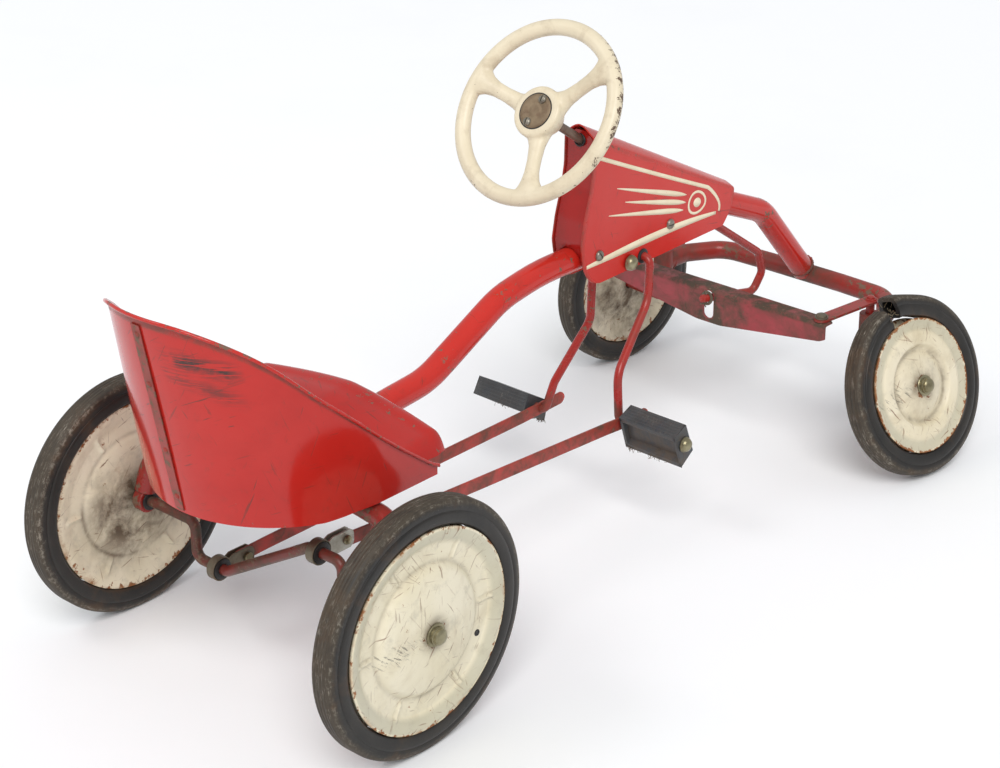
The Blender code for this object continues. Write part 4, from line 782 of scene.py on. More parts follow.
def seat_outline():
    """Plan of the wall: straight sides and a half circle behind."""
    straight, arc = 24, 150
    step = (SEAT_CENTRE - SEAT_FRONT_Y) / straight
    pts = [(-SEAT_RADIUS, SEAT_FRONT_Y + step * i) for i in range(straight)]
    pts += [(-SEAT_RADIUS * math.cos(a), SEAT_CENTRE + SEAT_RADIUS * math.sin(a))
            for a in np.linspace(0, math.pi, arc + 1)]
    return pts + [(SEAT_RADIUS, SEAT_FRONT_Y + step * i) for i in range(straight - 1, -1, -1)]


def rim_height(y):
    """Height of the seat's rim, from the low front to the tall back."""
    ys = [-0.102, -0.050, -0.005, 0.045, 0.080, 0.100, 0.125, 0.1395]
    zs = [0.2285, 0.2680, 0.3050, 0.3470, 0.3830, 0.4000, 0.4180, 0.4255]
    spread = np.linspace(-0.010, 0.010, 5)
    return float(np.mean([np.interp(y + d, ys, zs) for d in spread]))


def seat_wall_point(x, y, level):
    """Point of the leaning wall: level 0 is the bottom edge, 1 the rim."""
    back = max(0.0, y - SEAT_CENTRE) / SEAT_RADIUS
    rim = rim_height(y + 0.0390 * back ** 1.5)
    low = float(np.interp(y, [-0.102, 0.000, 0.030, 0.100], [0.2198, 0.2198, 0.2158, 0.2150]))
    z = low + level * (rim - low)
    lean = (z - low) / 0.2100
    return Vector((x * (1 + 0.05 * lean + 0.025 * lean ** 2), y + 0.0390 * back ** 1.5 * lean, z))


def build_seat():
    """Wall with its rolled rim, the riveted seam strip and the pan."""
    outline = seat_outline()
    levels = np.linspace(0, 1, 72)
    bead = 0.0021
    verts, wear, rows = [], [], 0
    for i, (x, y) in enumerate(outline):
        a, b = outline[max(i - 1, 0)], outline[min(i + 1, len(outline) - 1)]
        tangent = Vector((b[0] - a[0], b[1] - a[1], 0)).normalized()
        out = Vector((-tangent.y, tangent.x, 0))
        if out.dot(Vector((x, y - SEAT_CENTRE, 0))) < 0:
            out = -out
        pts = [seat_wall_point(x, y, lv) for lv in levels]
        up = (pts[-1] - pts[-2]).normalized() if (pts[-1] - pts[-2]).length > 1e-6 else Vector((0, 0, 1))
        dent = 0.0009 * math.sin(7.0 * i / len(outline) * math.pi)
        outer = [p + out * (SHEET / 2 + dent * math.sin(math.pi * lv)) for p, lv in zip(pts, levels)]
        inner = [p - out * (SHEET / 2 - dent * math.sin(math.pi * lv)) for p, lv in zip(pts, levels)]
        centre = pts[-1] + out * bead * 1.1 - up * bead * 0.4
        curl = [centre + (out * math.cos(t) + up * math.sin(t)) * bead
                for t in np.linspace(math.radians(-150), math.radians(170), 12)]
        section = outer[:-1] + curl + inner[::-1][1:]
        verts += section
        wear += [0.45 * (lv < 0.04) for lv in levels[:-1]] + [0.8] * len(curl) + [0.2] * (len(levels) - 1)
        rows = len(section)
    faces = grid_faces(len(outline), rows, round_m=False)
    last = (len(outline) - 1) * rows
    faces += [tuple(range(rows))[::-1], tuple(range(last, last + rows))]
    # scraped streaks on the right rear of the wall, and painted shadow beneath the rolled edge
    scrape, grime_and_shade = [], []
    for k, v in enumerate(verts):
        ends = min(max((v.x + 0.088) / 0.012, 0.0), 1.0) * min(max((-0.016 - v.x) / 0.010, 0.0), 1.0)
        upper = max(0.0, 1.25 - abs(v.z - 0.3840 - 0.234 * (v.x + 0.0528)) / 0.0105)
        lower = 0.62 * max(0.0, 1.0 - abs(v.z - 0.3570 - 0.393 * (v.x + 0.0642)) / 0.0125)
        place = k % rows
        scrape.append(min(1.0, max(upper, lower)) * ends * (v.y > 0.03) * (place < len(levels) + 4))
        # painted shadow: a dark band just beneath the rolled rim
        grime_and_shade.append(0.75 if len(levels) - 4 <= place < len(levels) + 1 else 0.0)
    piece("seat_wall_look", verts, faces, "seat", "frame", "seat_shell", "red_paint", sharp=60,
          attributes={"wear": wear, "scrape": scrape, "grime_and_shade": grime_and_shade})

    # seam strip and its rivets
    out = Vector((0, 0.98, -0.20))
    rows = []
    for lv in np.linspace(0.015, 0.955, 26):
        p = seat_wall_point(0, SEAT_BACK_Y, lv) + out * (SHEET / 2 + 0.0008)
        rows.append([p + Vector((w, 0, 0)) for w in (-0.0055, -0.0048, -0.0020, 0.0020, 0.0048, 0.0055)])
    verts, faces = sheet_mesh(rows, 0.0010)
    piece("seat_seam_look", verts, faces, "seam", "frame", "seat_seam_strip", "red_paint_dark",
          wear=0.5)
    rivet = [(0.0, 0.0), (0.0, 0.0031), (0.0006, 0.0030), (0.0013, 0.0021), (0.0016, 0.0)]
    for k, lv in enumerate((0.905, 0.66, 0.325, 0.085)):
        p = seat_wall_point(0, SEAT_BACK_Y, lv) + out * (SHEET / 2 + 0.0012)
        turned(f"seat_rivet_{k + 1}", rivet, 20, "seam", "frame", slot="red_paint_dark",
               place=outward(p, out), wear=0.4, closed=False)
    build_pan()


def pan_corner(x):
    """How far into the pan's rounded front corner, 0 to about 1."""
    return max(0.0, abs(x) - 0.1135) / 0.0150


def pan_height(x, y):
    """Top of the pan: a shallow dish that rises to a rolled front edge."""
    u = min(abs(x) / 0.115, 1.0)
    front = 0.2685 - 0.0135 * u ** 1.3
    dish = 0.2395 + 0.010 * max(0.0, (abs(x) - 0.085) / 0.045) ** 2 + 0.006 * bell(x, 0.02)
    blend = min(max((-0.010 - y) / 0.095, 0.0), 1.0)
    blend = blend * blend * (3 - 2 * blend)
    return dish + (front - 0.0165 * pan_corner(x) ** 2 - dish) * blend


def build_pan():
    """Seat pan with its rolled front lip."""
    ys = list(np.linspace(0.088, -0.104, 34))
    across = np.linspace(-1, 1, 73)
    inner = SEAT_RADIUS * 1.006 - SHEET / 2 - 0.0012
    grid = []
    for y in ys:
        half = math.sqrt(max(inner ** 2 - max(y - SEAT_CENTRE, 0.0) ** 2, 1e-6))
        grid.append([Vector((half * s, y, pan_height(half * s, y))) for s in across])
    last = [v.copy() for v in grid[-1]]
    lip = ((0.0015, -0.0010), (0.0032, -0.0020), (0.0052, -0.0025), (0.0080, -0.0020), (0.0102, -0.0008),
           (0.0120, 0.0012), (0.0132, 0.0040), (0.0138, 0.0078), (0.0140, 0.0120), (0.0140, 0.0165),
           (0.0138, 0.0205))
    for push, drop in lip:
        bow = min(push / 0.006, 1.0) * 0.006
        row = []
        for v in last:
            corner = min(1.0, pan_corner(v.x))
            row.append(Vector((v.x * (1 - 0.03 * push / 0.014 * corner),
                               v.y - push - bow * (1 - (v.x / 0.13) ** 2),
                               v.z - drop * (1 - 0.9 * corner))))
        grid.append(row)
    verts, faces = sheet_mesh(grid, SHEET)
    wear = [0.7 if v[1] < -0.100 else 0.1 for v in verts]
    # the pan's darker red is painted shade inside the seat
    piece("seat_pan_look", verts, faces, "pan", "frame", "seat_pan", "red_paint", wear=wear, sharp=60)


# ---- hood ----------------------------------------------------------------------------------
HOOD_REAR_Y, HOOD_FRONT_Y = -0.4600, -0.7115
HOOD_W_REAR, HOOD_W_FRONT = 0.0195, 0.0160


def along_hood(y):
    """0 at the hood's rear, 1 at its nose."""
    return (y - HOOD_REAR_Y) / (HOOD_FRONT_Y - HOOD_REAR_Y)


def hood_width(y):
    return HOOD_W_REAR + (HOOD_W_FRONT - HOOD_W_REAR) * along_hood(y)


def hood_fold(y):
    """Height of the fold between side and top."""
    return 0.4315 - 0.1230 * along_hood(y)


def hood_ridge(y):
    return hood_fold(y) + 0.0130 - 0.0060 * along_hood(y)


def rear_edge(z):
    """Rear edge of the hood's side at a height, bulging backwards low down."""
    return float(np.interp(z, [0.2688, 0.2694, 0.2712, 0.2748, 0.2800, 0.2868, 0.2946, 0.3185, 0.3449,
                               0.3755, 0.3985, 0.4315], [-0.4760, -0.4690, -0.4625, -0.4565, -0.4518,
                                                         -0.4474, -0.4440, -0.4400, -0.4450, -0.4545,
                                                         -0.4590, -0.4600]))


def hood_side_point(s, level):
    """(y, z) on the hood's side: s runs rear to nose, level bottom to fold."""
    z_rear = 0.2688 + (0.4315 - 0.2688) * level
    z_nose = 0.2700 + (0.3085 - 0.2700) * level
    start = float(np.mean([rear_edge(z_rear + d) for d in (-0.0015, 0.0, 0.0015)]))
    stop = -0.6910 + (HOOD_FRONT_Y + 0.6910) * math.sin(0.5 * math.pi * level) ** 0.8
    return start + (stop - start) * s, z_rear + (z_nose - z_rear) * s


def build_hood():
    """Folded sheet over the main tube, and the panel that closes its rear."""
    rows = []
    levels = np.linspace(0, 1, 40) ** 1.5
    for s in np.linspace(0, 1, 40):
        y_top = HOOD_REAR_Y + (HOOD_FRONT_Y - HOOD_REAR_Y) * s
        width, fold, ridge = hood_width(y_top), hood_fold(y_top), hood_ridge(y_top)
        halves = []
        for side in (-1, 1):
            part = []
            for level in levels:
                y, z = hood_side_point(s, level)
                part.append(Vector((side * hood_width(y), y, z)))
            part[-1] = part[-1] + Vector((0, 0, -0.0006))
            part.append(Vector((side * width * 0.975, y_top, fold + 0.0010)))
            for w, lift in ((0.93, 0.12), (0.75, 0.36), (0.50, 0.66), (0.30, 0.86), (0.12, 0.97)):
                part.append(Vector((side * width * w, y_top, fold + 0.0010 + (ridge - fold - 0.0010) * lift)))
            halves.append(part)
        rows.append(halves[0] + [Vector((0, y_top, ridge))] + halves[1][::-1])
    verts, faces = sheet_mesh(rows, SHEET)
    wear = []
    for v in verts:
        s = along_hood(v[1])
        near_fold = bell(v[2] - hood_fold(v[1]), 0.003) * (0.35 + 0.65 * (s > 0.05) * (s < 0.35))
        wear.append(max(0.75 * bell(s - 1.0, 0.04), near_fold * 0.8,
                        0.5 * bell(v[1] - rear_edge(v[2]), 0.002)))
    grime_and_shade = [max(0.70 * bell(v[1] - rear_edge(v[2]), 0.0022) * (v[2] < hood_fold(v[1]) - 0.002),
                 0.45 * bell(v[2] - hood_fold(v[1]), 0.0016),
                 0.60 * bell(v[1] - HOOD_FRONT_Y, 0.004)) for v in verts]
    piece("hood_cover_look", verts, faces, "hood", "frame", "hood_cover", "red_paint", sharp=45,
          attributes={"wear": wear, "grime_and_shade": grime_and_shade})

    inset = 0.0028
    rows = []
    for z in np.linspace(0.3000, 0.4290, 30):
        y = rear_edge(z) - inset
        half = hood_width(y) - SHEET / 2 - 0.0008
        rows.append([Vector((half * s, y, z)) for s in np.linspace(-1, 1, 17)])
    y = HOOD_REAR_Y - inset
    for lift in (0.25, 0.5, 0.72, 0.86):
        half = (hood_width(y) - 0.0015) * (1.02 - lift * 0.78)
        z = hood_fold(y) - 0.0005 + (hood_ridge(y) - hood_fold(y) - 0.003) * lift
        rows.append([Vector((half * s, y, z)) for s in np.linspace(-1, 1, 17)])
    for row in rows:
        for v in row:
            arch = 0.2982 + math.sqrt(max((MAIN_R + 0.0014) ** 2 - v.x ** 2, 0.0))
            if abs(v.x) < MAIN_R + 0.0012 and v.z < arch:
                v.z = arch
    verts, faces = sheet_mesh(rows, SHEET)
    # the darker red copy on the rear-facing panel is painted shade
    piece("hood_rear_look", verts, faces, "hood_shaded", "frame", "hood_rear_panel", "red_paint",
          wear=[0.55 if v[2] < 0.306 else 0.12 for v in verts], sharp=50)
    build_hood_fittings()
    build_stripes()


def build_hood_fittings():
    screw = [(0.0, 0.0), (0.0, 0.0058), (0.0014, 0.0058), (0.0028, 0.0050), (0.0038, 0.0034),
             (0.0042, 0.0014), (0.0042, 0.0)]
    slope = (HOOD_W_FRONT - HOOD_W_REAR) / (HOOD_FRONT_Y - HOOD_REAR_Y)
    for side, sign in SIDES:
        normal = Vector((sign, -slope, 0)).normalized()
        for k, (y, z) in enumerate(((-0.4700, 0.3010), (-0.5930, 0.3010))):
            surface = Vector((sign * hood_width(y), y, z)) + normal * SHEET / 2
            place = outward(surface, normal)
            head = turned(f"hood_screw_look_{side}_{k + 1}", screw, 32, "screw", "frame",
                          f"hood_screw_{side}_{k + 1}", "zinc_steel", place=place, sharp=30, closed=False)
            cut_slot(head, place @ Matrix.Rotation(0.5 + 1.1 * k, 4, "X"), 0.0024, 0.0056)
    # dark rubber collar where the column leaves the rear panel
    t = (COLUMN_TOP.y - (HOOD_REAR_Y - 0.0020)) / COLUMN_AXIS.y
    hole = COLUMN_TOP - COLUMN_AXIS * t
    collar = [(-0.0012, COLUMN_R + 0.0004), (-0.0012, COLUMN_R + 0.0022), (0.0010, COLUMN_R + 0.0024),
              (0.0018, COLUMN_R + 0.0014), (0.0014, COLUMN_R + 0.0004)]
    turned("column_collar", collar, 28, "bush", "frame", slot="black_bush",
           place=outward(hole + Vector((0, 0.0008, 0)), (0, 1, 0.25)))


def cut_slot(obj, place, floor, reach, half=0.00075):
    """Screwdriver slot in a head that faces local X."""
    outline = [(-half, -reach), (half, -reach), (half, reach), (-half, reach)]
    carve(obj, prism_mesh(outline, floor, 0.02), place)


STRIPE_THICKNESS = 0.00008


def hood_decal(name, centre, sign):
    """Thin painted band on the hood's side along a list of (s, level, half width) stations."""
    rows = []
    for i, (s, level, half) in enumerate(centre):
        a, b = centre[max(i - 1, 0)], centre[min(i + 1, len(centre) - 1)]
        ya, za = hood_side_point(a[0], a[1])
        yb, zb = hood_side_point(b[0], b[1])
        t = Vector((0, yb - ya, zb - za)).normalized()
        n = Vector((0, -t.z, t.y))
        y, z = hood_side_point(s, level)
        row = []
        for w in (-1.0, 0.0, 1.0):
            p = Vector((0, y, z)) + n * half * w
            p.x = sign * (hood_width(p.y) + SHEET / 2 + 0.00006)
            row.append(p)
        rows.append(row)
    faces = grid_faces(len(rows), 3, round_m=False, round_n=False)
    obj = piece(name, [p for row in rows for p in row], faces, "stripe", "frame", slot="cream_paint")
    mod = obj.modifiers.new("thin", "SOLIDIFY")
    mod.thickness, mod.offset = STRIPE_THICKNESS, 0.0


def build_stripes():
    """Plain painted trim: two long stripes that meet round the nose, and a ring with three flashes."""
    for side, sign in SIDES:
        upper = [(s, 0.895 - 0.035 * s, 0.0022) for s in np.linspace(0.030, 0.80, 44)]
        turn = [(0.80 + 0.118 * math.sin(math.pi * 0.5 * t), 0.867 - 0.45 * t ** 1.3, 0.0022 - 0.0006 * t)
                for t in np.linspace(0.03, 1.0, 24)]
        hood_decal("stripe_upper_" + side, upper + turn, sign)
        lower = [(s, 0.150 + 0.13 * s + 0.15 * s * s,
                  0.0010 + 0.0034 * math.sin(math.pi * min(s + 0.05, 1.0)) ** 0.8)
                  for s in np.linspace(0.02, 0.90, 44)]
        hood_decal("stripe_lower_" + side, lower, sign)
        ring_line = []
        for t in np.linspace(0.0, 2 * math.pi, 61):
            ring_line.append((0.742 + 0.058 * math.cos(t), 0.600 + 0.165 * math.sin(t), 0.0015))
        hood_decal("badge_ring_" + side, ring_line, sign)
        spot = [(0.716 + 0.052 * t, 0.600, 0.0002 + 0.0052 * math.sin(math.pi * t) ** 0.5)
                for t in np.linspace(0.0, 1.0, 30)]
        hood_decal("badge_spot_" + side, spot, sign)
        for k, (start, stop, level) in enumerate(((0.17, 0.655, 0.700), (0.24, 0.660, 0.600),
                                                  (0.15, 0.655, 0.500))):
            flash = [(start + (stop - start) * t, level, 0.0003 + 0.0036 * t ** 0.7 * (1 - t ** 9))
                     for t in np.linspace(0.0, 1.0, 40)]
            hood_decal(f"badge_flash_{k + 1}_{side}", flash, sign)


# ---- steering ------------------------------------------------------------------------------
RIM_R, RIM_TUBE, RIM_LIFT = 0.0915, 0.0088, 0.0045
SPOKES = (2.0, 128.0, 242.0)


def build_steering():
    """Steering column, bent at its foot, with washer and split pin."""
    path = arc_path([COLUMN_TOP + COLUMN_AXIS * 0.003, (0, -0.7860, 0.2056), (0, -0.7995, 0.1760),
                     (0, -0.7880, 0.1530), (0, WEB_Y + 0.0105, 0.1698)], [0.014, 0.012, 0.011], 5.0)
    foot = (path[-1] - path[-2]).normalized()
    full, sections = rounded_rod(densify(path, 0.02), COLUMN_R, 24)
    verts, faces = sweep(full, sections, (1, 0, 0))
    obj = piece("steering_column_look", verts, faces, "bare", "steering", "steering_column", "brown_steel",
                place=COLUMN_TURN, wear=0.3)
    second_paint(obj, "arm", lambda at: at.y < -0.52)
    washer = [(0.0, COLUMN_R + 0.0003), (0.0, 0.0082), (0.0003, 0.0085), (0.0011, 0.0085), (0.0014, 0.0081),
              (0.0014, COLUMN_R + 0.0003)]
    turned("column_washer_look", washer, 32, "strap", "steering", "column_washer", "zinc_steel",
           place=COLUMN_TURN @ outward(path[-1] - foot * 0.0085, foot))
    build_cotter(path[-1] - foot * 0.0035)
    build_steering_wheel()


def build_cotter(at):
    """Split pin through the foot of the column, with an eye above and two bent legs below."""
    eye = [Vector((0, 0, 0.0065)) + Vector((0.0016 * math.sin(t), 0, 0.0016 - 0.0016 * math.cos(t)))
           for t in np.linspace(0, 2 * math.pi, 16)]
    paths = [[Vector((0.0, 0, -0.0056))] + eye]
    for sign in (-1, 1):
        paths.append(arc_path([Vector((0, 0, -0.0050)), Vector((0, 0, -0.0068)),
                               Vector((sign * 0.0045, 0.001, -0.0090))], 0.0012, 15.0))
    parts = []
    for p in paths:
        parts.append(sweep([Vector(q) for q in p], ring(0.0007, 8), (0, 1, 0)))
    verts, faces = joined(parts)
    piece("cotter_pin", verts, faces, "strap", "steering", slot="zinc_steel",
          place=COLUMN_TURN @ Matrix.Translation(at))


def rim_mesh():
    """Ring of the steering wheel, slightly flattened along its axis."""
    n_ring, n_sec = 120, 24
    verts = []
    for i in range(n_ring):
        a = 2 * math.pi * i / n_ring
        for c, s in ring(1.0, n_sec):
            r = RIM_R + RIM_TUBE * c
            verts.append((RIM_TUBE * 0.88 * s + RIM_LIFT, r * math.sin(a), r * math.cos(a)))
    return verts, grid_faces(n_ring, n_sec)


# stations of a spoke: (height, distance from the axis, half width, half thickness)
SPOKE_STATIONS = ((-0.0045, 0.008, 0.0190, 0.0090), (-0.0038, 0.018, 0.0172, 0.0088),
                  (-0.0028, 0.026, 0.0125, 0.0080), (-0.0016, 0.035, 0.0092, 0.0070),
                  (0.0006, 0.050, 0.0080, 0.0064), (0.0028, 0.064, 0.0084, 0.0064),
                  (0.0040, 0.074, 0.0108, 0.0068), (0.0045, 0.081, 0.0150, 0.0073),
                  (0.0045, 0.087, 0.0215, 0.0078))


def spoke_mesh(angle):
    a, around, stations = math.radians(angle), 20, len(SPOKE_STATIONS)
    verts = []
    for x, r, w, t in SPOKE_STATIONS:
        for c, s in ring(1.0, around):
            px = r * math.cos(a) - w * c * math.sin(a)
            py = r * math.sin(a) + w * c * math.cos(a)
            verts.append((x + t * s, -px, py))
    faces = grid_faces(stations, around, round_m=False)
    faces += [tuple(range(around))[::-1], tuple(range((stations - 1) * around, stations * around))]
    return verts, faces


def build_steering_wheel():
    place = COLUMN_TURN @ outward(COLUMN_TOP, COLUMN_AXIS)
    hub = [(-0.0240, 0.0), (-0.0240, 0.0135), (-0.0220, 0.0155), (-0.0090, 0.0240), (0.0000, 0.0278),
           (0.0056, 0.0278), (0.0080, 0.0258), (0.0082, 0.0)]
    parts = [rim_mesh(), spin(hub, 64, closed=False)[:2]] + [spoke_mesh(angle) for angle in SPOKES]
    verts, faces = blended(joined(parts), 0.00135, 9)
    wear = []
    for _, y, z in verts:
        r, ang = math.hypot(y, z), math.degrees(math.atan2(z, -y))
        outer_edge = max(0.0, (r - RIM_R - 0.25 * RIM_TUBE) / (0.75 * RIM_TUBE))
        worn_arc = bell(ang - 150.0, 58.0) + bell(ang + 210.0, 58.0)
        low_arc = bell(ang + 75.0, 30.0)
        wear.append(min(1.0, outer_edge ** 1.6 * (1.05 * worn_arc + 0.7 * low_arc) + 0.22))
    piece("steering_wheel_look", verts, faces, "wheel", "steering", "steering_wheel", "cream_plastic",
          wear=wear, place=place, sharp=70)
    build_hub_plate(place)


def build_hub_plate(place):
    """Round steel plate in the middle of the wheel, held by two slotted screws."""
    plate = [(0.0080, 0.0), (0.0080, 0.0184), (0.0086, 0.0184), (0.0091, 0.0178), (0.0092, 0.0150),
             (0.0092, 0.0100), (0.0088, 0.0085), (0.0088, 0.0070), (0.0092, 0.0058), (0.0090, 0.0035),
             (0.0086, 0.0)]
    turned("hub_plate_look", plate, 64, "plate", "steering", "hub_plate", "brown_steel", place=place,
           closed=False)
    groove = [(0.0078, 0.0184), (0.0078, 0.0196), (0.0084, 0.0196), (0.0084, 0.0184)]
    turned("hub_plate_edge", groove, 64, "bush", "steering", slot="black_bush", place=place)
    screw = [(0.0088, 0.0), (0.0088, 0.0046), (0.0100, 0.0046), (0.0112, 0.0041), (0.0119, 0.0030),
             (0.0122, 0.0014), (0.0122, 0.0)]
    for k, angle in enumerate((98.0, 278.0)):
        a = math.radians(angle)
        at = place @ Matrix.Translation((0, -0.0137 * math.cos(a), 0.0137 * math.sin(a)))
        head = turned(f"hub_screw_{k + 1}", screw, 28, "screw", "steering", slot="zinc_steel", place=at,
                      sharp=30, closed=False)
        cut_slot(head, at @ Matrix.Rotation(0.15, 4, "X"), 0.0101, 0.0056, 0.0009)


def blended(part, voxel, rounds):
    """Voxel-merge overlapping shapes into one skin and smooth the joins."""
    mesh = bpy.data.meshes.new("blend_work")
    mesh.from_pydata([tuple(v) for v in part[0]], [], part[1])
    settle(mesh)
    obj = bpy.data.objects.new("blend_work", mesh)
    bpy.context.scene.collection.objects.link(obj)
    remesh = obj.modifiers.new("merge", "REMESH")
    remesh.mode, remesh.voxel_size = "VOXEL", voxel
    soften = obj.modifiers.new("soften", "SMOOTH")
    soften.factor, soften.iterations = 0.5, rounds
    graph = bpy.context.evaluated_depsgraph_get()
    made = bpy.data.meshes.new_from_object(obj.evaluated_get(graph))
    verts = [v.co.copy() for v in made.vertices]
    faces = [tuple(p.vertices) for p in made.polygons]
    bpy.data.objects.remove(obj, do_unlink=True)
    return verts, faces


def build_tie_rod():
    """Channel with a deep middle: web with the column slot, folded top flange, two bolts."""
    top, end_z, mid_z, t = ARM_Z - 0.0003, 0.1600, 0.1385, 0.0018
    half, belly, depth = 0.1620, 0.0170, 0.0215
    xs = sorted(set(np.linspace(-half, half, 100).tolist() + [0.0]))
    rows = []
    for x in xs:
        low = mid_z if abs(x) < belly else mid_z + (end_z - mid_z) * (abs(x) - belly) / (half - belly)
        low += 0.0025 * bell(abs(x) - half, 0.004)
        near_end = max(0.0, (abs(x) - (half - 0.010)) / 0.010)
        row = [Vector((x, WEB_Y - t / 2, low + (top - 0.003 - low) * k / 10)) for k in range(11)]
        row += [Vector((x, WEB_Y - 0.0020, top - 0.0014)), Vector((x, WEB_Y - 0.0040, top - t / 2))]
        reach = depth - 0.007 * near_end
        row += [Vector((x, WEB_Y - 0.0040 - (reach - 0.0040) * k / 6, top - t / 2)) for k in range(1, 7)]
        rows.append(row)
    verts, faces = sheet_mesh(rows, t)
    grime_and_shade = [max(1.0 if v[2] > top - 0.0045 else 0.0, 1.0 * bell(v[0], 0.048),
                 0.6 * bell(abs(v[0]) - half, 0.020)) for v in verts]
    obj = piece("tie_rod_look", verts, faces, "tie", "tie_rod", "tie_rod", "red_paint_dark", place=TIE_MOVE,
                attributes={"wear": [0.4 if v[2] > top - 0.004 else 0.2 for v in verts], "grime_and_shade": grime_and_shade},
                sharp=50)
    slot = [(0.0070 * math.cos(a), 0.1505 + 0.0070 * math.sin(a))
            for a in np.linspace(math.pi, 2 * math.pi, 14)]
    slot += [(0.0070 * math.cos(a), 0.1706 + 0.0070 * math.sin(a)) for a in np.linspace(0, math.pi, 14)]
    cutter = bridge([(x, WEB_Y - 0.006, z) for x, z in slot], [(x, WEB_Y + 0.006, z) for x, z in slot])
    carve(obj, cutter, TIE_MOVE)

    bolt_y = KINGPIN_Y + ARM_LENGTH * math.cos(STEER_REST)
    low = top - t - 0.0003
    bolt = [(low - 0.0035, 0.0), (low - 0.0035, 0.0052), (low - 0.0030, 0.0060), (low, 0.0060),
            (low, 0.0030), (ARM_Z + 0.0033, 0.0030), (ARM_Z + 0.0033, 0.0078), (ARM_Z + 0.0046, 0.0078),
            (ARM_Z + 0.0048, 0.0062), (ARM_Z + 0.0070, 0.0060), (ARM_Z + 0.0078, 0.0046),
            (ARM_Z + 0.0078, 0.0)]
    upright = Matrix.Rotation(-math.pi / 2, 4, "Y")
    for side, pin in KINGPIN.items():
        turned("tie_bolt_look_" + side, bolt, 28, "strap", "tie_rod", "tie_bolt_" + side, "zinc_steel",
               place=TIE_MOVE @ Matrix.Translation((pin.x, bolt_y, 0)) @ upright, sharp=30, closed=False)


def carve(obj, cutter, matrix):
    """Cut a closed shape out of a piece, in the car frame."""
    mesh = bpy.data.meshes.new("carve_work")
    mesh.from_pydata([tuple(v) for v in cutter[0]], [], cutter[1])
    mesh.transform(Matrix.Translation(SHIFT) @ matrix)
    settle(mesh)
    tool = bpy.data.objects.new("carve_work", mesh)
    bpy.context.scene.collection.objects.link(tool)
    mod = obj.modifiers.new("carve", "BOOLEAN")
    mod.operation, mod.solver, mod.object = "DIFFERENCE", "EXACT", tool
    graph = bpy.context.evaluated_depsgraph_get()
    made = bpy.data.meshes.new_from_object(obj.evaluated_get(graph))
    obj.modifiers.clear()
    paint = obj.data.materials[0]
    obj.data = made
    made.materials.clear()
    made.materials.append(paint)
    made.polygons.foreach_set("material_index", [0] * len(made.polygons))
    made.set_sharp_from_angle(angle=math.radians(45))
    bpy.data.objects.remove(tool, do_unlink=True)


def build_spindles():
    """Kingpin and stub axle of each front wheel, with its steering arm."""
    for side, pin in KINGPIN.items():
        centre, direction = front_centre(side)
        bend = centre - direction * ((centre.x - pin.x) / direction.x)
        path = arc_path([Vector((pin.x, pin.y, ARM_Z + 0.0050)), bend, centre + direction * 0.0225], 0.009,
                        5.0)
        full, sections = rounded_rod(densify(path, 0.01), SPINDLE_R, 24)
        verts, faces = sweep(full, sections, (0, 1, 0))
        piece("spindle_look_" + side, verts, faces, "dark", "spindle_" + side, "spindle_" + side,
              "red_paint_dark", place=STEER[side], wear=0.5)
        w, z0, z1 = 0.0085, ARM_Z, ARM_Z + 0.0030
        arc = np.linspace(0, math.pi, 20)
        outline = [(pin.x + w * math.cos(a), pin.y + ARM_LENGTH + w * math.sin(a)) for a in arc]
        outline += [(pin.x - w * math.cos(a), pin.y - w * math.sin(a)) for a in arc]
        arm = bridge([(x, y, z0) for x, y in outline], [(x, y, z1) for x, y in outline])
        parts = [arm, weld_bead((pin.x, pin.y, z1 + 0.0002), (0.02, 0, 1), SPINDLE_R + 0.0006, 0.0013, 9)]
        verts, faces = joined(parts)
        piece("steering_arm_look_" + side, verts, faces, "dark", "spindle_" + side, "steering_arm_" + side,
              "red_paint_dark", place=STEER[side], wear=0.6, bevel=0.0004)


# ---- wheels --------------------------------------------------------------------------------
def tyre_section(radius, rim, grooves):
    """Outer outline of the tyre's section, from the outboard bead round the tread."""
    h = TYRE_HALF
    side = [(0.0098, rim + 0.0002), (0.0120, rim + 0.0012), (0.0131, rim + 0.0038), (h, rim + 0.0080),
            (0.0134, rim + 0.0110), (0.0130, rim + 0.0134), (0.0125, rim + 0.0138), (0.0125, rim + 0.0148),
            (0.0128, rim + 0.0152), (0.0122, radius - 0.0062), (0.0113, radius - 0.0032),
            (0.0100, radius - 0.0013), (0.0086, radius - 0.0005)]
    tread, half = [], 0.0080
    for k in range(grooves):
        c = half - (k + 0.5) * 2 * half / grooves
        tread += [(c + 0.0009, radius), (c + 0.0003, radius - 0.0006), (c - 0.0003, radius - 0.0006),
                  (c - 0.0009, radius)]
    return side + tread + [(-a, r) for a, r in reversed(side)]


def tyre_layers(where, radius, per_turn):
    """Per-vertex masks for the rubber: tread, shoulder, worn edges and the way across the section."""
    tread = [1.0 if r > radius - 0.0045 else max(0.0, 1 - (radius - 0.0045 - r) / 0.004) for _, r, _ in where]
    low = min(r for _, r, _ in where)
    wear = [bell(r - low, 0.003) + 0.6 * bell(r - radius + 0.005, 0.002)
            for _, r, _ in where]
    across, gone = [], 0.0
    for k, (a, r, _) in enumerate(where):
        if k % per_turn:
            gone += math.hypot(a - where[k - 1][0], r - where[k - 1][1])
        else:
            gone = 0.0
        across.append(gone)
    shoulder = [bell(r - radius + 0.0036, 0.0030) * (1.0 if a < 0 else 0.8) for a, r, _ in where]
    return {"tread": tread, "radius": [r for _, r, _ in where], "wear": wear, "across": across,
            "shoulder": shoulder}


RIB_BAND, RIB_HEIGHT, RIB_HALF = (0.069, 0.089), 0.0027, 0.0019


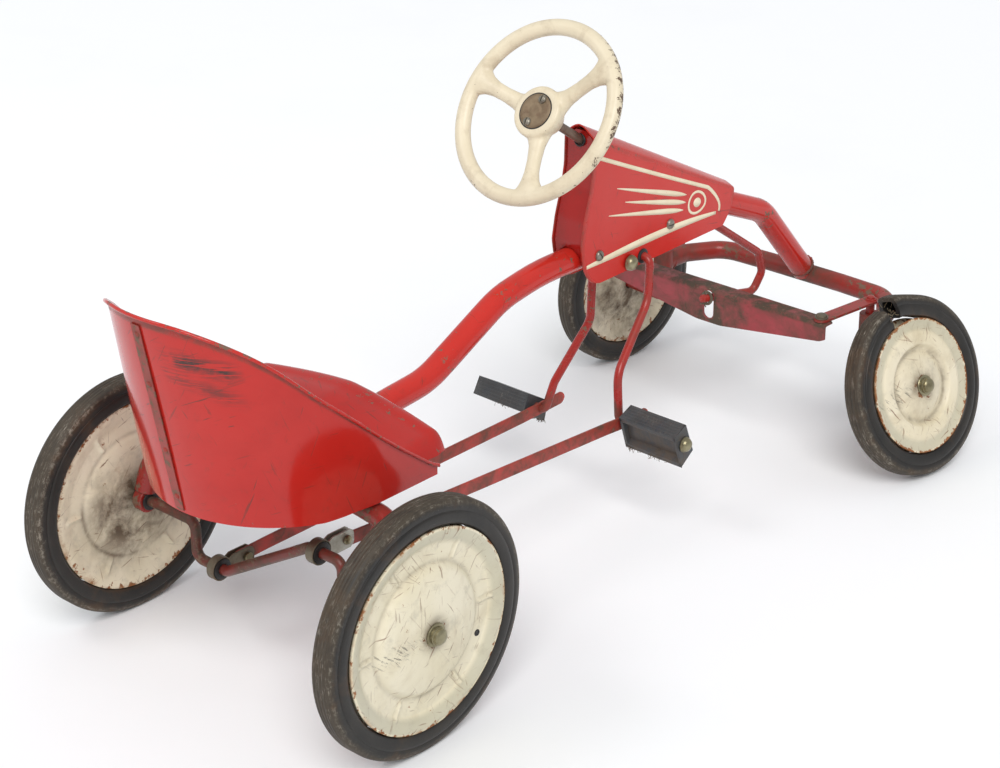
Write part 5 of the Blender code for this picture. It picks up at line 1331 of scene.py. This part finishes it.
def dished_face(points, count, segments, ribs=0):
    """Closed pressed disc from its outer face profile, with optional raised radial ribs."""
    face = smooth_profile(points, count)
    back = [(a - SHEET, r) for a, r in face]
    lip = face[-1]
    curl = [(lip[0] + 0.0004, lip[1] + 0.0001), (lip[0] - SHEET * 0.5, lip[1] + 0.0002)]
    verts, faces, where = spin(face + curl + back[::-1], segments)
    layers = {"wear": [], "grime_and_shade": [], "shade": [], "scrape": []}
    flare = RIB_BAND[1] - 0.0045 if ribs else lip[1] * 0.80
    out = []
    for v, (a, r, t) in zip(verts, where):
        x = v[0]
        if ribs:
            window = max(0.0, min(1.0, (r - RIB_BAND[0]) / 0.002, (RIB_BAND[1] - r) / 0.003))
            gap = ((t + math.pi / ribs) % (2 * math.pi / ribs)) - math.pi / ribs
            x += RIB_HEIGHT * window * bell(gap * r, RIB_HALF, 4)
        out.append((x, v[1], v[2]))
        layers["wear"].append(min(1.0, 0.85 * bell(lip[1] - r, 0.0030)
                                  + 0.45 * bell(r - 0.012, 0.006)))
        foot = bell(r - RIB_BAND[0] + 0.002, 0.0022) if ribs else \
            bell(r - 0.0405, 0.0030)
        flank = window * bell(abs(gap * r) - 0.0030, 0.0010) if ribs else 0.0
        layers["grime_and_shade"].append(min(1.0, 0.80 * bell(r, 0.0175, 4) + (0.34 if ribs else 0.62) * foot
                                   + 0.42 * flank + (0.0 if ribs else 0.22 * bell(r, 0.036, 4))))
        layers["shade"].append(min(1.0, max(0.0, (r - flare) / 0.004)) * (r < lip[1] - 0.002))
        layers["scrape"].append(max(0.0, 1.0 - ((v[1] + 0.046) / 0.036) ** 2 - ((v[2] + 0.004) / 0.014) ** 2))
    return out, faces, layers


REAR_DISC = [(0.0195, 0.0060), (0.0194, 0.0200), (0.0186, 0.0340), (0.0168, 0.0470), (0.0148, 0.0560),
             (0.0130, 0.0605), (0.0095, 0.0642), (0.0076, 0.0662), (0.0073, 0.0690), (0.0074, 0.0745),
             (0.0076, 0.0825), (0.0086, 0.0852), (0.0116, 0.0905), (0.0132, 0.0955), (0.0137, 0.0985),
             (0.0130, 0.1010)]
FRONT_DISC = [(0.0166, 0.0058), (0.0164, 0.0140), (0.0152, 0.0220), (0.0128, 0.0300), (0.0102, 0.0358),
              (0.0088, 0.0388), (0.0088, 0.0418), (0.0106, 0.0440), (0.0134, 0.0466), (0.0141, 0.0495),
              (0.0139, 0.0580), (0.0130, 0.0612), (0.0117, 0.0642), (0.0117, 0.0690), (0.0131, 0.0735),
              (0.0134, 0.0755), (0.0128, 0.0764)]


def build_outer_disc(tag, rear, place, body):
    if rear:
        verts, faces, layers = dished_face(REAR_DISC, 64, 420, ribs=6)
    else:
        verts, faces, layers = dished_face(FRONT_DISC, 64, 180)
    piece("disc_look_" + tag, verts, faces, "disc" if rear else "disc_front", body, "wheel_disc_outer_" + tag,
          "cream_paint", attributes=layers, place=place, sharp=60)
    if rear:
        build_disc_hole(tag, place, body)


def build_inner_disc(tag, rear, rim, place, body):
    """Back of the wheel: a stepped disc with a grimy centre, ribbed on the rear wheels."""
    inner = [(-0.0092, 0.0064), (-0.0092, rim * 0.22), (-0.0084, rim * 0.44), (-0.0066, rim * 0.58),
             (-0.0048, rim * 0.64), (-0.0045, rim * 0.70), (-0.0047, rim * 0.80), (-0.0062, rim * 0.86),
             (-0.0082, rim * 0.93), (-0.0088, rim - 0.0004)]
    face = smooth_profile(inner, 44)
    verts, faces, where = spin(face + [(a - SHEET, r) for a, r in reversed(face)], 240)
    ribbed = []
    for v, (a, r, t) in zip(verts, where):
        window = max(0.0, min(1.0, (r - rim * 0.66) / 0.003, (rim * 0.88 - r) / 0.004)) if rear else 0.0
        gap = ((t + math.pi / 6) % (math.pi / 3)) - math.pi / 6
        ribbed.append((v[0] - 0.0026 * window * bell(gap * r, 0.0022), v[1], v[2]))
    wear = [0.8 * bell(rim - r, 0.006) for _, r, _ in where]
    grime_and_shade = [min(1.0, 1.25 * bell(r, 0.050 + 0.020 * math.cos(t - 5.2), 3)
                 + 0.35 * bell(r - rim * 0.66, 0.0022)) for _, r, t in where]
    # the paler cream on the back disc is painted light
    piece("disc_inner_look_" + tag, ribbed, faces, "disc_back_lit", body, "wheel_disc_inner_" + tag,
          "cream_paint", place=place, attributes={"wear": wear, "grime_and_shade": grime_and_shade}, sharp=60)


def build_wheel(end, side, centre, direction, steer, body):
    rear = end == "rear"
    tag = f"{end}_{side}"
    radius, rim = (REAR_R, REAR_RIM) if rear else (FRONT_R, FRONT_RIM)
    place = steer @ outward(centre, direction)
    section = tyre_section(radius, rim + 0.0003, 4 if rear else 3)
    if tag == "front_right":
        build_torn_tyre(section, radius, place, body)
    else:
        verts, faces, where = spin(section, 160)
        piece("tyre_look_" + tag, verts, faces, "tyre", body, "tyre_" + tag, "tyre", place=place,
              attributes=tyre_layers(where, radius, len(section)), sharp=50)
    build_outer_disc(tag, rear, place, body)
    build_inner_disc(tag, rear, rim, place, body)
    a0 = (REAR_DISC if rear else FRONT_DISC)[0][0] + 0.0002
    cap = [(a0, 0.0), (a0, 0.0108), (a0 + 0.0004, 0.0116), (a0 + 0.0014, 0.0118), (a0 + 0.0020, 0.0112),
           (a0 + 0.0023, 0.0092), (a0 + 0.0048, 0.0090), (a0 + 0.0052, 0.0082), (a0 + 0.0078, 0.0078),
           (a0 + 0.0094, 0.0062), (a0 + 0.0102, 0.0034), (a0 + 0.0104, 0.0)]
    turned("hub_cap_look_" + tag, cap, 48, "cap", body, "hub_cap_" + tag, "zinc_steel", place=place,
           sharp=35, closed=False)


def build_disc_hole(tag, place, body):
    """Small punched drain hole with a turned edge in the disc's channel; the opening itself is a flat black
    disc, painted shade for the dark inside of the wheel.
    """
    angle, r = math.radians(-26.0), 0.0765
    rim = [(0.0, 0.0), (0.0, 0.0021), (0.0005, 0.0024), (0.0006, 0.0029), (0.0001, 0.0034), (-0.0006, 0.0034)]
    at = Matrix.Translation((0.0077, r * math.cos(angle), r * math.sin(angle)))
    turned("disc_hole_" + tag, rim, 24, "bush", body, slot="black_bush", place=place @ at, closed=False)


def build_torn_tyre(section, radius, place, body):
    """The right front tyre is a hollow rubber section that has split and lifted at the top."""
    gap_at, gap = math.radians(104.0), math.radians(9.0)
    steps = 220
    middle = Vector((0.0, (radius + FRONT_RIM) / 2 + 0.0006))
    hollow = [(a * 0.62, middle.y + (r - middle.y) * 0.60) for a, r in section[::-1]]
    n = len(section)
    verts, where = [], []
    for k in range(steps + 1):
        t = gap_at + gap / 2 + (2 * math.pi - gap) * k / steps
        near_start = bell((k / steps) * 360.0, 8.0)
        near_stop = bell((1 - k / steps) * 360.0, 14.0)
        lift, widen = 0.0062 * near_stop - 0.0020 * near_start, 1.0 + 0.10 * near_stop - 0.06 * near_start
        for a, r in section + hollow:
            rr = r + lift
            verts.append((a * widen, rr * math.cos(t), rr * math.sin(t)))
            where.append((a, r, t))
    faces, m = [], 2 * n
    for k in range(steps):
        for i in range(n):
            j = (i + 1) % n
            faces.append((k * m + i, k * m + j, (k + 1) * m + j, (k + 1) * m + i))
            faces.append((k * m + n + i, k * m + n + j, (k + 1) * m + n + j, (k + 1) * m + n + i))
    for base in (0, steps * m):
        for i in range(n):
            j = (i + 1) % n
            faces.append((base + i, base + j, base + n + (n - 1 - j) % n, base + n + (n - 1 - i) % n))
    piece("tyre_look_front_right", verts, faces, "tyre", body, "tyre_front_right", "tyre", place=place,
          attributes=tyre_layers(where, radius, 2 * n), sharp=50)
    # dry cord fibres that stick out of the split
    rng = random.Random(11)
    roots = []
    for _ in range(30):
        t = gap_at + rng.choice((-1, 1)) * gap * (0.35 + 0.5 * rng.random())
        r0 = rng.uniform(FRONT_RIM + 0.006, radius - 0.004)
        roots.append(Vector((rng.uniform(-0.010, 0.010), r0 * math.cos(t), r0 * math.sin(t))))
    verts, faces = fibres(rng, roots, Vector((0.25, 0.0, 0.3)), (0.004, 0.011), 0.00028)
    piece("tyre_fibres", verts, faces, "fibre", body, slot="tyre", place=place)


def fibres(rng, roots, lean, sizes, r):
    """Short bent threads that start at the given roots."""
    parts = []
    for p0 in roots:
        away = Vector([rng.uniform(-0.6, 0.6) + c for c in lean]).normalized()
        size = rng.uniform(*sizes)
        bend = Vector([rng.uniform(-0.5, 0.5) for _ in range(3)])
        p1 = p0 + away * size * 0.5
        p2 = p1 + (away + bend).normalized() * size * 0.5
        parts.append(sweep(arc_path([p0, p1, p2], 0.002, 20.0), ring(r, 5), (0.3, 0.5, 0.8)))
    return joined(parts)


def build_wheels():
    still = Matrix.Identity(4)
    for side, sign in SIDES:
        build_wheel("rear", side, Vector((sign * REAR_X, 0, REAR_R)), Vector((sign, 0, 0)), still,
                    "rear_wheel_" + side)
        centre, direction = front_centre(side)
        build_wheel("front", side, centre, direction, STEER[side], "front_wheel_" + side)


# ---- drive ---------------------------------------------------------------------------------
def build_crank():
    """Cranked rear axle with two opposite throws."""
    z_up, z_low, web_x = REAR_R + THROW["right"], REAR_R + THROW["left"], 0.1040
    end = REAR_X + 0.0248
    points = [(end, 0, REAR_R), (web_x, 0, REAR_R), (web_x, 0, z_low), (0.060, 0, z_low),
              (-0.060, 0, z_up), (-web_x, 0, z_up), (-web_x, 0, REAR_R), (-end, 0, REAR_R)]
    path = densify(arc_path(points, [0.010, 0.010, 0.014, 0.014, 0.010, 0.010], 6.0), 0.008)
    verts, faces = sweep(path, ring(CRANK_R, 24), (0, 1, 0))
    mess = [1.0 if abs(v[0]) > 0.070 else 0.35 + 0.5 * (0.5 + 0.5 * math.sin(v[0] * 75 + 0.6)) for v in verts]
    piece("crank_look", verts, faces, "crank", "crank", "crank_axle", "red_paint_dark",
          attributes={"wear": [0.6 + 0.4 * math.sin(v[0] * 90) for v in verts], "grime_and_shade": mess})


def pedal_point(side):
    return Vector((0, *PEDAL_PIN[side]))


def bolt_offset(side):
    return 0.0024 if side == "right" else -0.0016


def build_hanger(side, sign):
    """Strap hanger on a crank throw: band, two cheeks, rubber bush and bolt."""
    throw_z, x = REAR_R + THROW[side], sign * THROW_X
    band = [(-0.0050, 0.0113), (-0.0050, 0.0122), (-0.0044, 0.0128), (0.0044, 0.0128), (0.0050, 0.0122),
            (0.0050, 0.0113)]
    parts = [moved(spin(band, 56)[:2], outward((x, 0, throw_z), (sign, 0, 0)))]
    tip = -BOLT_AHEAD - 0.0095
    outline = [(-0.0105, -0.0072), (-0.0105, 0.0072), (-0.0160, 0.0100), (tip + 0.0050, 0.0098),
               (tip + 0.0012, 0.0072), (tip, 0.0040), (tip, -0.0040), (tip + 0.0012, -0.0072),
               (tip + 0.0050, -0.0098), (-0.0160, -0.0100)]
    outline = [(y, throw_z + z) for y, z in outline]
    for cheek in (-1, 1):
        x0 = x + cheek * 0.0024
        parts.append(prism_mesh(outline, min(x0, x0 + cheek * 0.0016), max(x0, x0 + cheek * 0.0016)))
    verts, faces = joined(parts)
    look = "zinc" if side == "right" else "strap"
    obj = piece("hanger_look_" + side, verts, faces, look, "hanger_" + side, "hanger_" + side, "zinc_steel",
                bevel=0.0004, wear=0.4)
    second_paint(obj, "strap", lambda at: math.hypot(at.y, at.z - throw_z) < 0.0135)
    bush = [(-0.0064, CRANK_R + 0.0004), (-0.0064, 0.0096), (-0.0054, 0.0109), (0.0054, 0.0109),
            (0.0064, 0.0096), (0.0064, CRANK_R + 0.0004)]
    turned("hanger_bush_look_" + side, bush, 40, "bush", "hanger_" + side, "hanger_bush_" + side,
           "black_bush", place=outward((x, 0, throw_z), (sign, 0, 0)))
    bolt = [(-0.0072, 0.0), (-0.0072, 0.0044), (-0.0066, 0.0050), (-0.0043, 0.0050), (-0.0043, 0.0025),
            (0.0043, 0.0025), (0.0043, 0.0046), (0.0050, 0.0049), (0.0066, 0.0042), (0.0075, 0.0026),
            (0.0077, 0.0)]
    turned("hanger_bolt_look_" + side, bolt, 28, "cap", "hanger_" + side, "hanger_bolt_" + side,
           "zinc_steel", place=outward((x, -BOLT_AHEAD, throw_z), (sign, 0, 0)), sharp=35, closed=False)


def flat_section(half_w, half_h, r):
    """Rounded rectangle loop."""
    n = 5
    pts = []
    for cx, cy, start in ((half_w - r, half_h - r, 0), (-half_w + r, half_h - r, 90),
                          (-half_w + r, -half_h + r, 180), (half_w - r, -half_h + r, 270)):
        for k in range(n):
            a = math.radians(start + 90 * k / (n - 1))
            pts.append((cx + r * math.cos(a), cy + r * math.sin(a)))
    return pts


ROD_HALF = 0.0072


def build_push_rod(side, sign):
    """Flat bar from the crank hanger to the pedal, its edges grimy."""
    pin, throw_z = pedal_point(side), REAR_R + THROW[side]
    hole = Vector((sign * THROW_X, -BOLT_AHEAD, throw_z - bolt_offset(side)))
    front = Vector((sign * PEDAL_ROD_X, pin.y, pin.z))
    slope = (hole.z - front.z) / (hole.y - front.y)

    def along(p, dy):
        return Vector((p.x, p.y + dy, p.z + dy * slope))

    path = densify(arc_path([along(front, -0.0400), along(front, 0.030), along(hole, -0.030),
                             along(hole, 0.0150)], 0.2, 3.0), 0.01)
    start_y, stop_y = path[0].y, path[-1].y
    path = refine_ends(path, ROD_HALF)
    sections = []
    for p in path:
        short = max(0.0, ROD_HALF - min(p.y - start_y, stop_y - p.y))
        half_h = math.sqrt(max(ROD_HALF ** 2 - short ** 2, 0.0014 ** 2))
        sections.append(flat_section(0.0015, half_h, 0.0010))
    verts, faces = sweep(path, sections)
    around = len(sections[0])
    grime_and_shade = []
    for k, v in enumerate(verts):
        middle = path[k // around]
        at_end = min((v - front).length, (v - hole).length) < 0.020
        grime_and_shade.append(max(0.85 if abs(v.z - middle.z) > 0.0052 else 0.0, 0.75 if at_end else 0.0))
    piece("push_rod_look_" + side, verts, faces, "rod", "push_rod_" + side, "push_rod_" + side, "red_paint",
          attributes={"wear": [0.55 if abs(v[1] - pin.y) < 0.03 else 0.35 for v in verts], "grime_and_shade": grime_and_shade},
          sharp=50)


def refine_ends(path, reach):
    """Closer points near both ends of a path, for rounded tips."""
    out = []
    for a, b in zip(path, path[1:]):
        near = min((a - path[0]).length, (b - path[-1]).length) < reach
        n = 8 if near else 1
        out += [a.lerp(b, k / n) for k in range(n)]
    return out + [path[-1]]


def build_pedal_arm(side, sign):
    """Bent swing arm that hangs from the hood and carries the pedal."""
    pin, y0 = pedal_point(side), PIVOT_Y[side]
    drop = PIVOT_Z - pin.z
    far = -sign * (hood_width(y0) + 0.0095)
    upper, lower, lead = (0.30, 0.33, 0.002) if side == "right" else (0.45, 0.18, 0.010)
    knees = [(0.0300, y0, PIVOT_Z), (0.0305, y0 + 0.0030, PIVOT_Z - upper * drop),
             (0.0480, pin.y - lead, pin.z + lower * drop), (0.0525, pin.y, pin.z)]
    points = [(far, y0, PIVOT_Z)] + [(sign * x, y, z) for x, y, z in knees]
    points.append((sign * (PEDAL_OUT + 0.0040), pin.y, pin.z))
    path = densify(arc_path(points, [0.009, 0.030, 0.030, 0.0075], 5.0), 0.008)
    verts, faces = sweep(path, ring(ARM_R, 22), (0, 1, 0.01))
    grime_and_shade = [0.85 if abs(v[0]) > 0.045 and v[2] < pin.z + 0.02 else 0.0 for v in verts]
    obj = piece("pedal_arm_look_" + side, verts, faces, "arm", "pedal_arm_" + side, "pedal_arm_" + side,
                "red_paint_dark", attributes={"wear": tube_wear(verts, 0.04), "grime_and_shade": grime_and_shade})
    second_paint(obj, "bare", lambda at: sign * at.x > PEDAL_IN)

    start = hood_width(y0) + 0.0026
    cap = [(start, 0.0052), (start, 0.0082), (start + 0.0003, 0.0088), (start + 0.0016, 0.0088),
           (start + 0.0019, 0.0084), (start + 0.0034, 0.0083), (start + 0.0060, 0.0070),
           (start + 0.0080, 0.0044), (start + 0.0090, 0.0)]
    turned("pivot_cap_look_" + side, cap, 44, "cap", "pedal_arm_" + side, "pivot_cap_" + side, "zinc_steel",
           place=outward((0, y0, PIVOT_Z), (-sign, 0, 0)), sharp=35, closed=False)
    # rubber grommets of the pivot in the hood's two sides
    surface = hood_width(y0) + SHEET / 2
    grommet = [(-0.0002, ARM_R + 0.0003), (-0.0002, 0.0082), (0.0010, 0.0084), (0.0020, 0.0072),
               (0.0022, ARM_R + 0.0003)]
    turned("pivot_grommet_" + side, [(a + surface, r) for a, r in grommet], 36, "bush", "frame",
           slot="black_bush", place=outward((0, y0, PIVOT_Z), (sign, 0, 0)))
    build_pedal(side, sign, pin)


PEDAL_HOLLOW = 0.0065


def build_pedal(side, sign, pin):
    """Rubber pedal block: channel open to the rear, with end walls and fine moulded ribs."""
    a_f, b_r, c_f, d_r = (-0.0030, 0.0215), (0.0165, 0.0130), (-0.0165, -0.0130), (0.0030, -0.0265)
    back = [Vector(d_r).lerp(Vector(b_r), f) for f in (0.13, 0.22, 0.78, 0.87)]
    inward = Vector((-0.946, 0.323)) * PEDAL_HOLLOW
    outline = [b_r, a_f, c_f, d_r, back[0], back[1] + inward, back[2] + inward, back[3]]
    outline = [(pin.y + y, pin.z + z) for y, z in outline]
    x0, x1 = sorted((sign * PEDAL_IN, sign * PEDAL_OUT))
    parts = [prism_mesh(outline, x0, x1)]
    wall = [(pin.y + y, pin.z + z) for y, z in (b_r, a_f, c_f, d_r)]
    for xa in (x0, x1 - 0.0030):
        parts.append(prism_mesh(wall, xa, xa + 0.0030))
    # shallow ribs along the two treads
    for (ya, za), (yb, zb) in ((a_f, b_r), (c_f, d_r)):
        for k in range(5):
            f = (k + 0.7) / 5.4
            y, z = pin.y + ya + (yb - ya) * f, pin.z + za + (zb - za) * f
            up = Vector((0, -(zb - za), yb - ya)).normalized()
            up = up if up.z > 0 else -up
            up = up if (ya, za) == a_f else -up
            along = Vector((0, yb - ya, zb - za)).normalized()
            quad = [(y + along.y * w + up.y * h, z + along.z * w + up.z * h)
                    for w, h in ((-0.0011, -0.0004), (-0.0008, 0.0006), (0.0008, 0.0006), (0.0011, -0.0004))]
            parts.append(prism_mesh(quad, x0 + 0.0035, x1 - 0.0035))
    turn = turn_about(pin, (1, 0, 0), PEDAL_REST[side])
    verts, faces = joined(parts)
    grime_and_shade = [0.8 if v[1] - pin.y > 0.34 * (v[2] - pin.z) - 0.0060 and v[2] < pin.z + 0.009 else 0.0
             for v in verts]
    layers = {"tread": [0.80 if v[2] > pin.z + 0.010 else 0.25 for v in verts], "grime_and_shade": grime_and_shade,
              "radius": [v[0] * 0.2 for v in verts], "across": [v[0] for v in verts]}
    piece("pedal_look_" + side, verts, faces, "pedal", "pedal_" + side, "pedal_" + side, "rubber",
          bevel=0.0014, attributes=layers, sharp=45, place=turn)
    rng = random.Random(21 if side == "right" else 22)
    clumps = [rng.uniform(PEDAL_IN + 0.004, PEDAL_OUT - 0.012) for _ in range(5)] + [PEDAL_IN + 0.006] * 3
    roots = []
    for _ in range(130):
        x = min(PEDAL_OUT - 0.002, max(PEDAL_IN + 0.001, rng.gauss(rng.choice(clumps), 0.0045)))
        f = rng.random() ** 3
        root = Vector(d_r).lerp(back[1] + inward, f) + Vector((-0.0006, 0.0005))
        roots.append(turn @ Vector((sign * x, pin.y + root.x, pin.z + root.y)))
    verts, faces = fibres(rng, roots, Vector((0, 0.35, -0.25)), (0.0015, 0.0060), 0.00020)
    piece("pedal_fluff_" + side, verts, faces, "fluff", "pedal_" + side, slot="rubber")
    start = PEDAL_OUT + 0.0003
    cap = [(start, 0.0), (start, 0.0080), (start + 0.0004, 0.0085), (start + 0.0014, 0.0085),
           (start + 0.0018, 0.0079), (start + 0.0034, 0.0077), (start + 0.0058, 0.0062),
           (start + 0.0075, 0.0036), (start + 0.0082, 0.0)]
    turned("pedal_cap_look_" + side, cap, 44, "cap", "pedal_" + side, "pedal_cap_" + side, "zinc_steel",
           place=outward((0, pin.y, pin.z), (sign, 0, 0)), sharp=35, closed=False)


def build_drive():
    build_crank()
    for side, sign in SIDES:
        build_hanger(side, sign)
        build_push_rod(side, sign)
        build_pedal_arm(side, sign)


# ---- assembly ------------------------------------------------------------------------------
add_camera()
build_materials()
add_studio()
add_floor()
build_frame()
build_seat()
build_hood()
build_steering()
build_tie_rod()
build_spindles()
build_wheels()
build_drive()
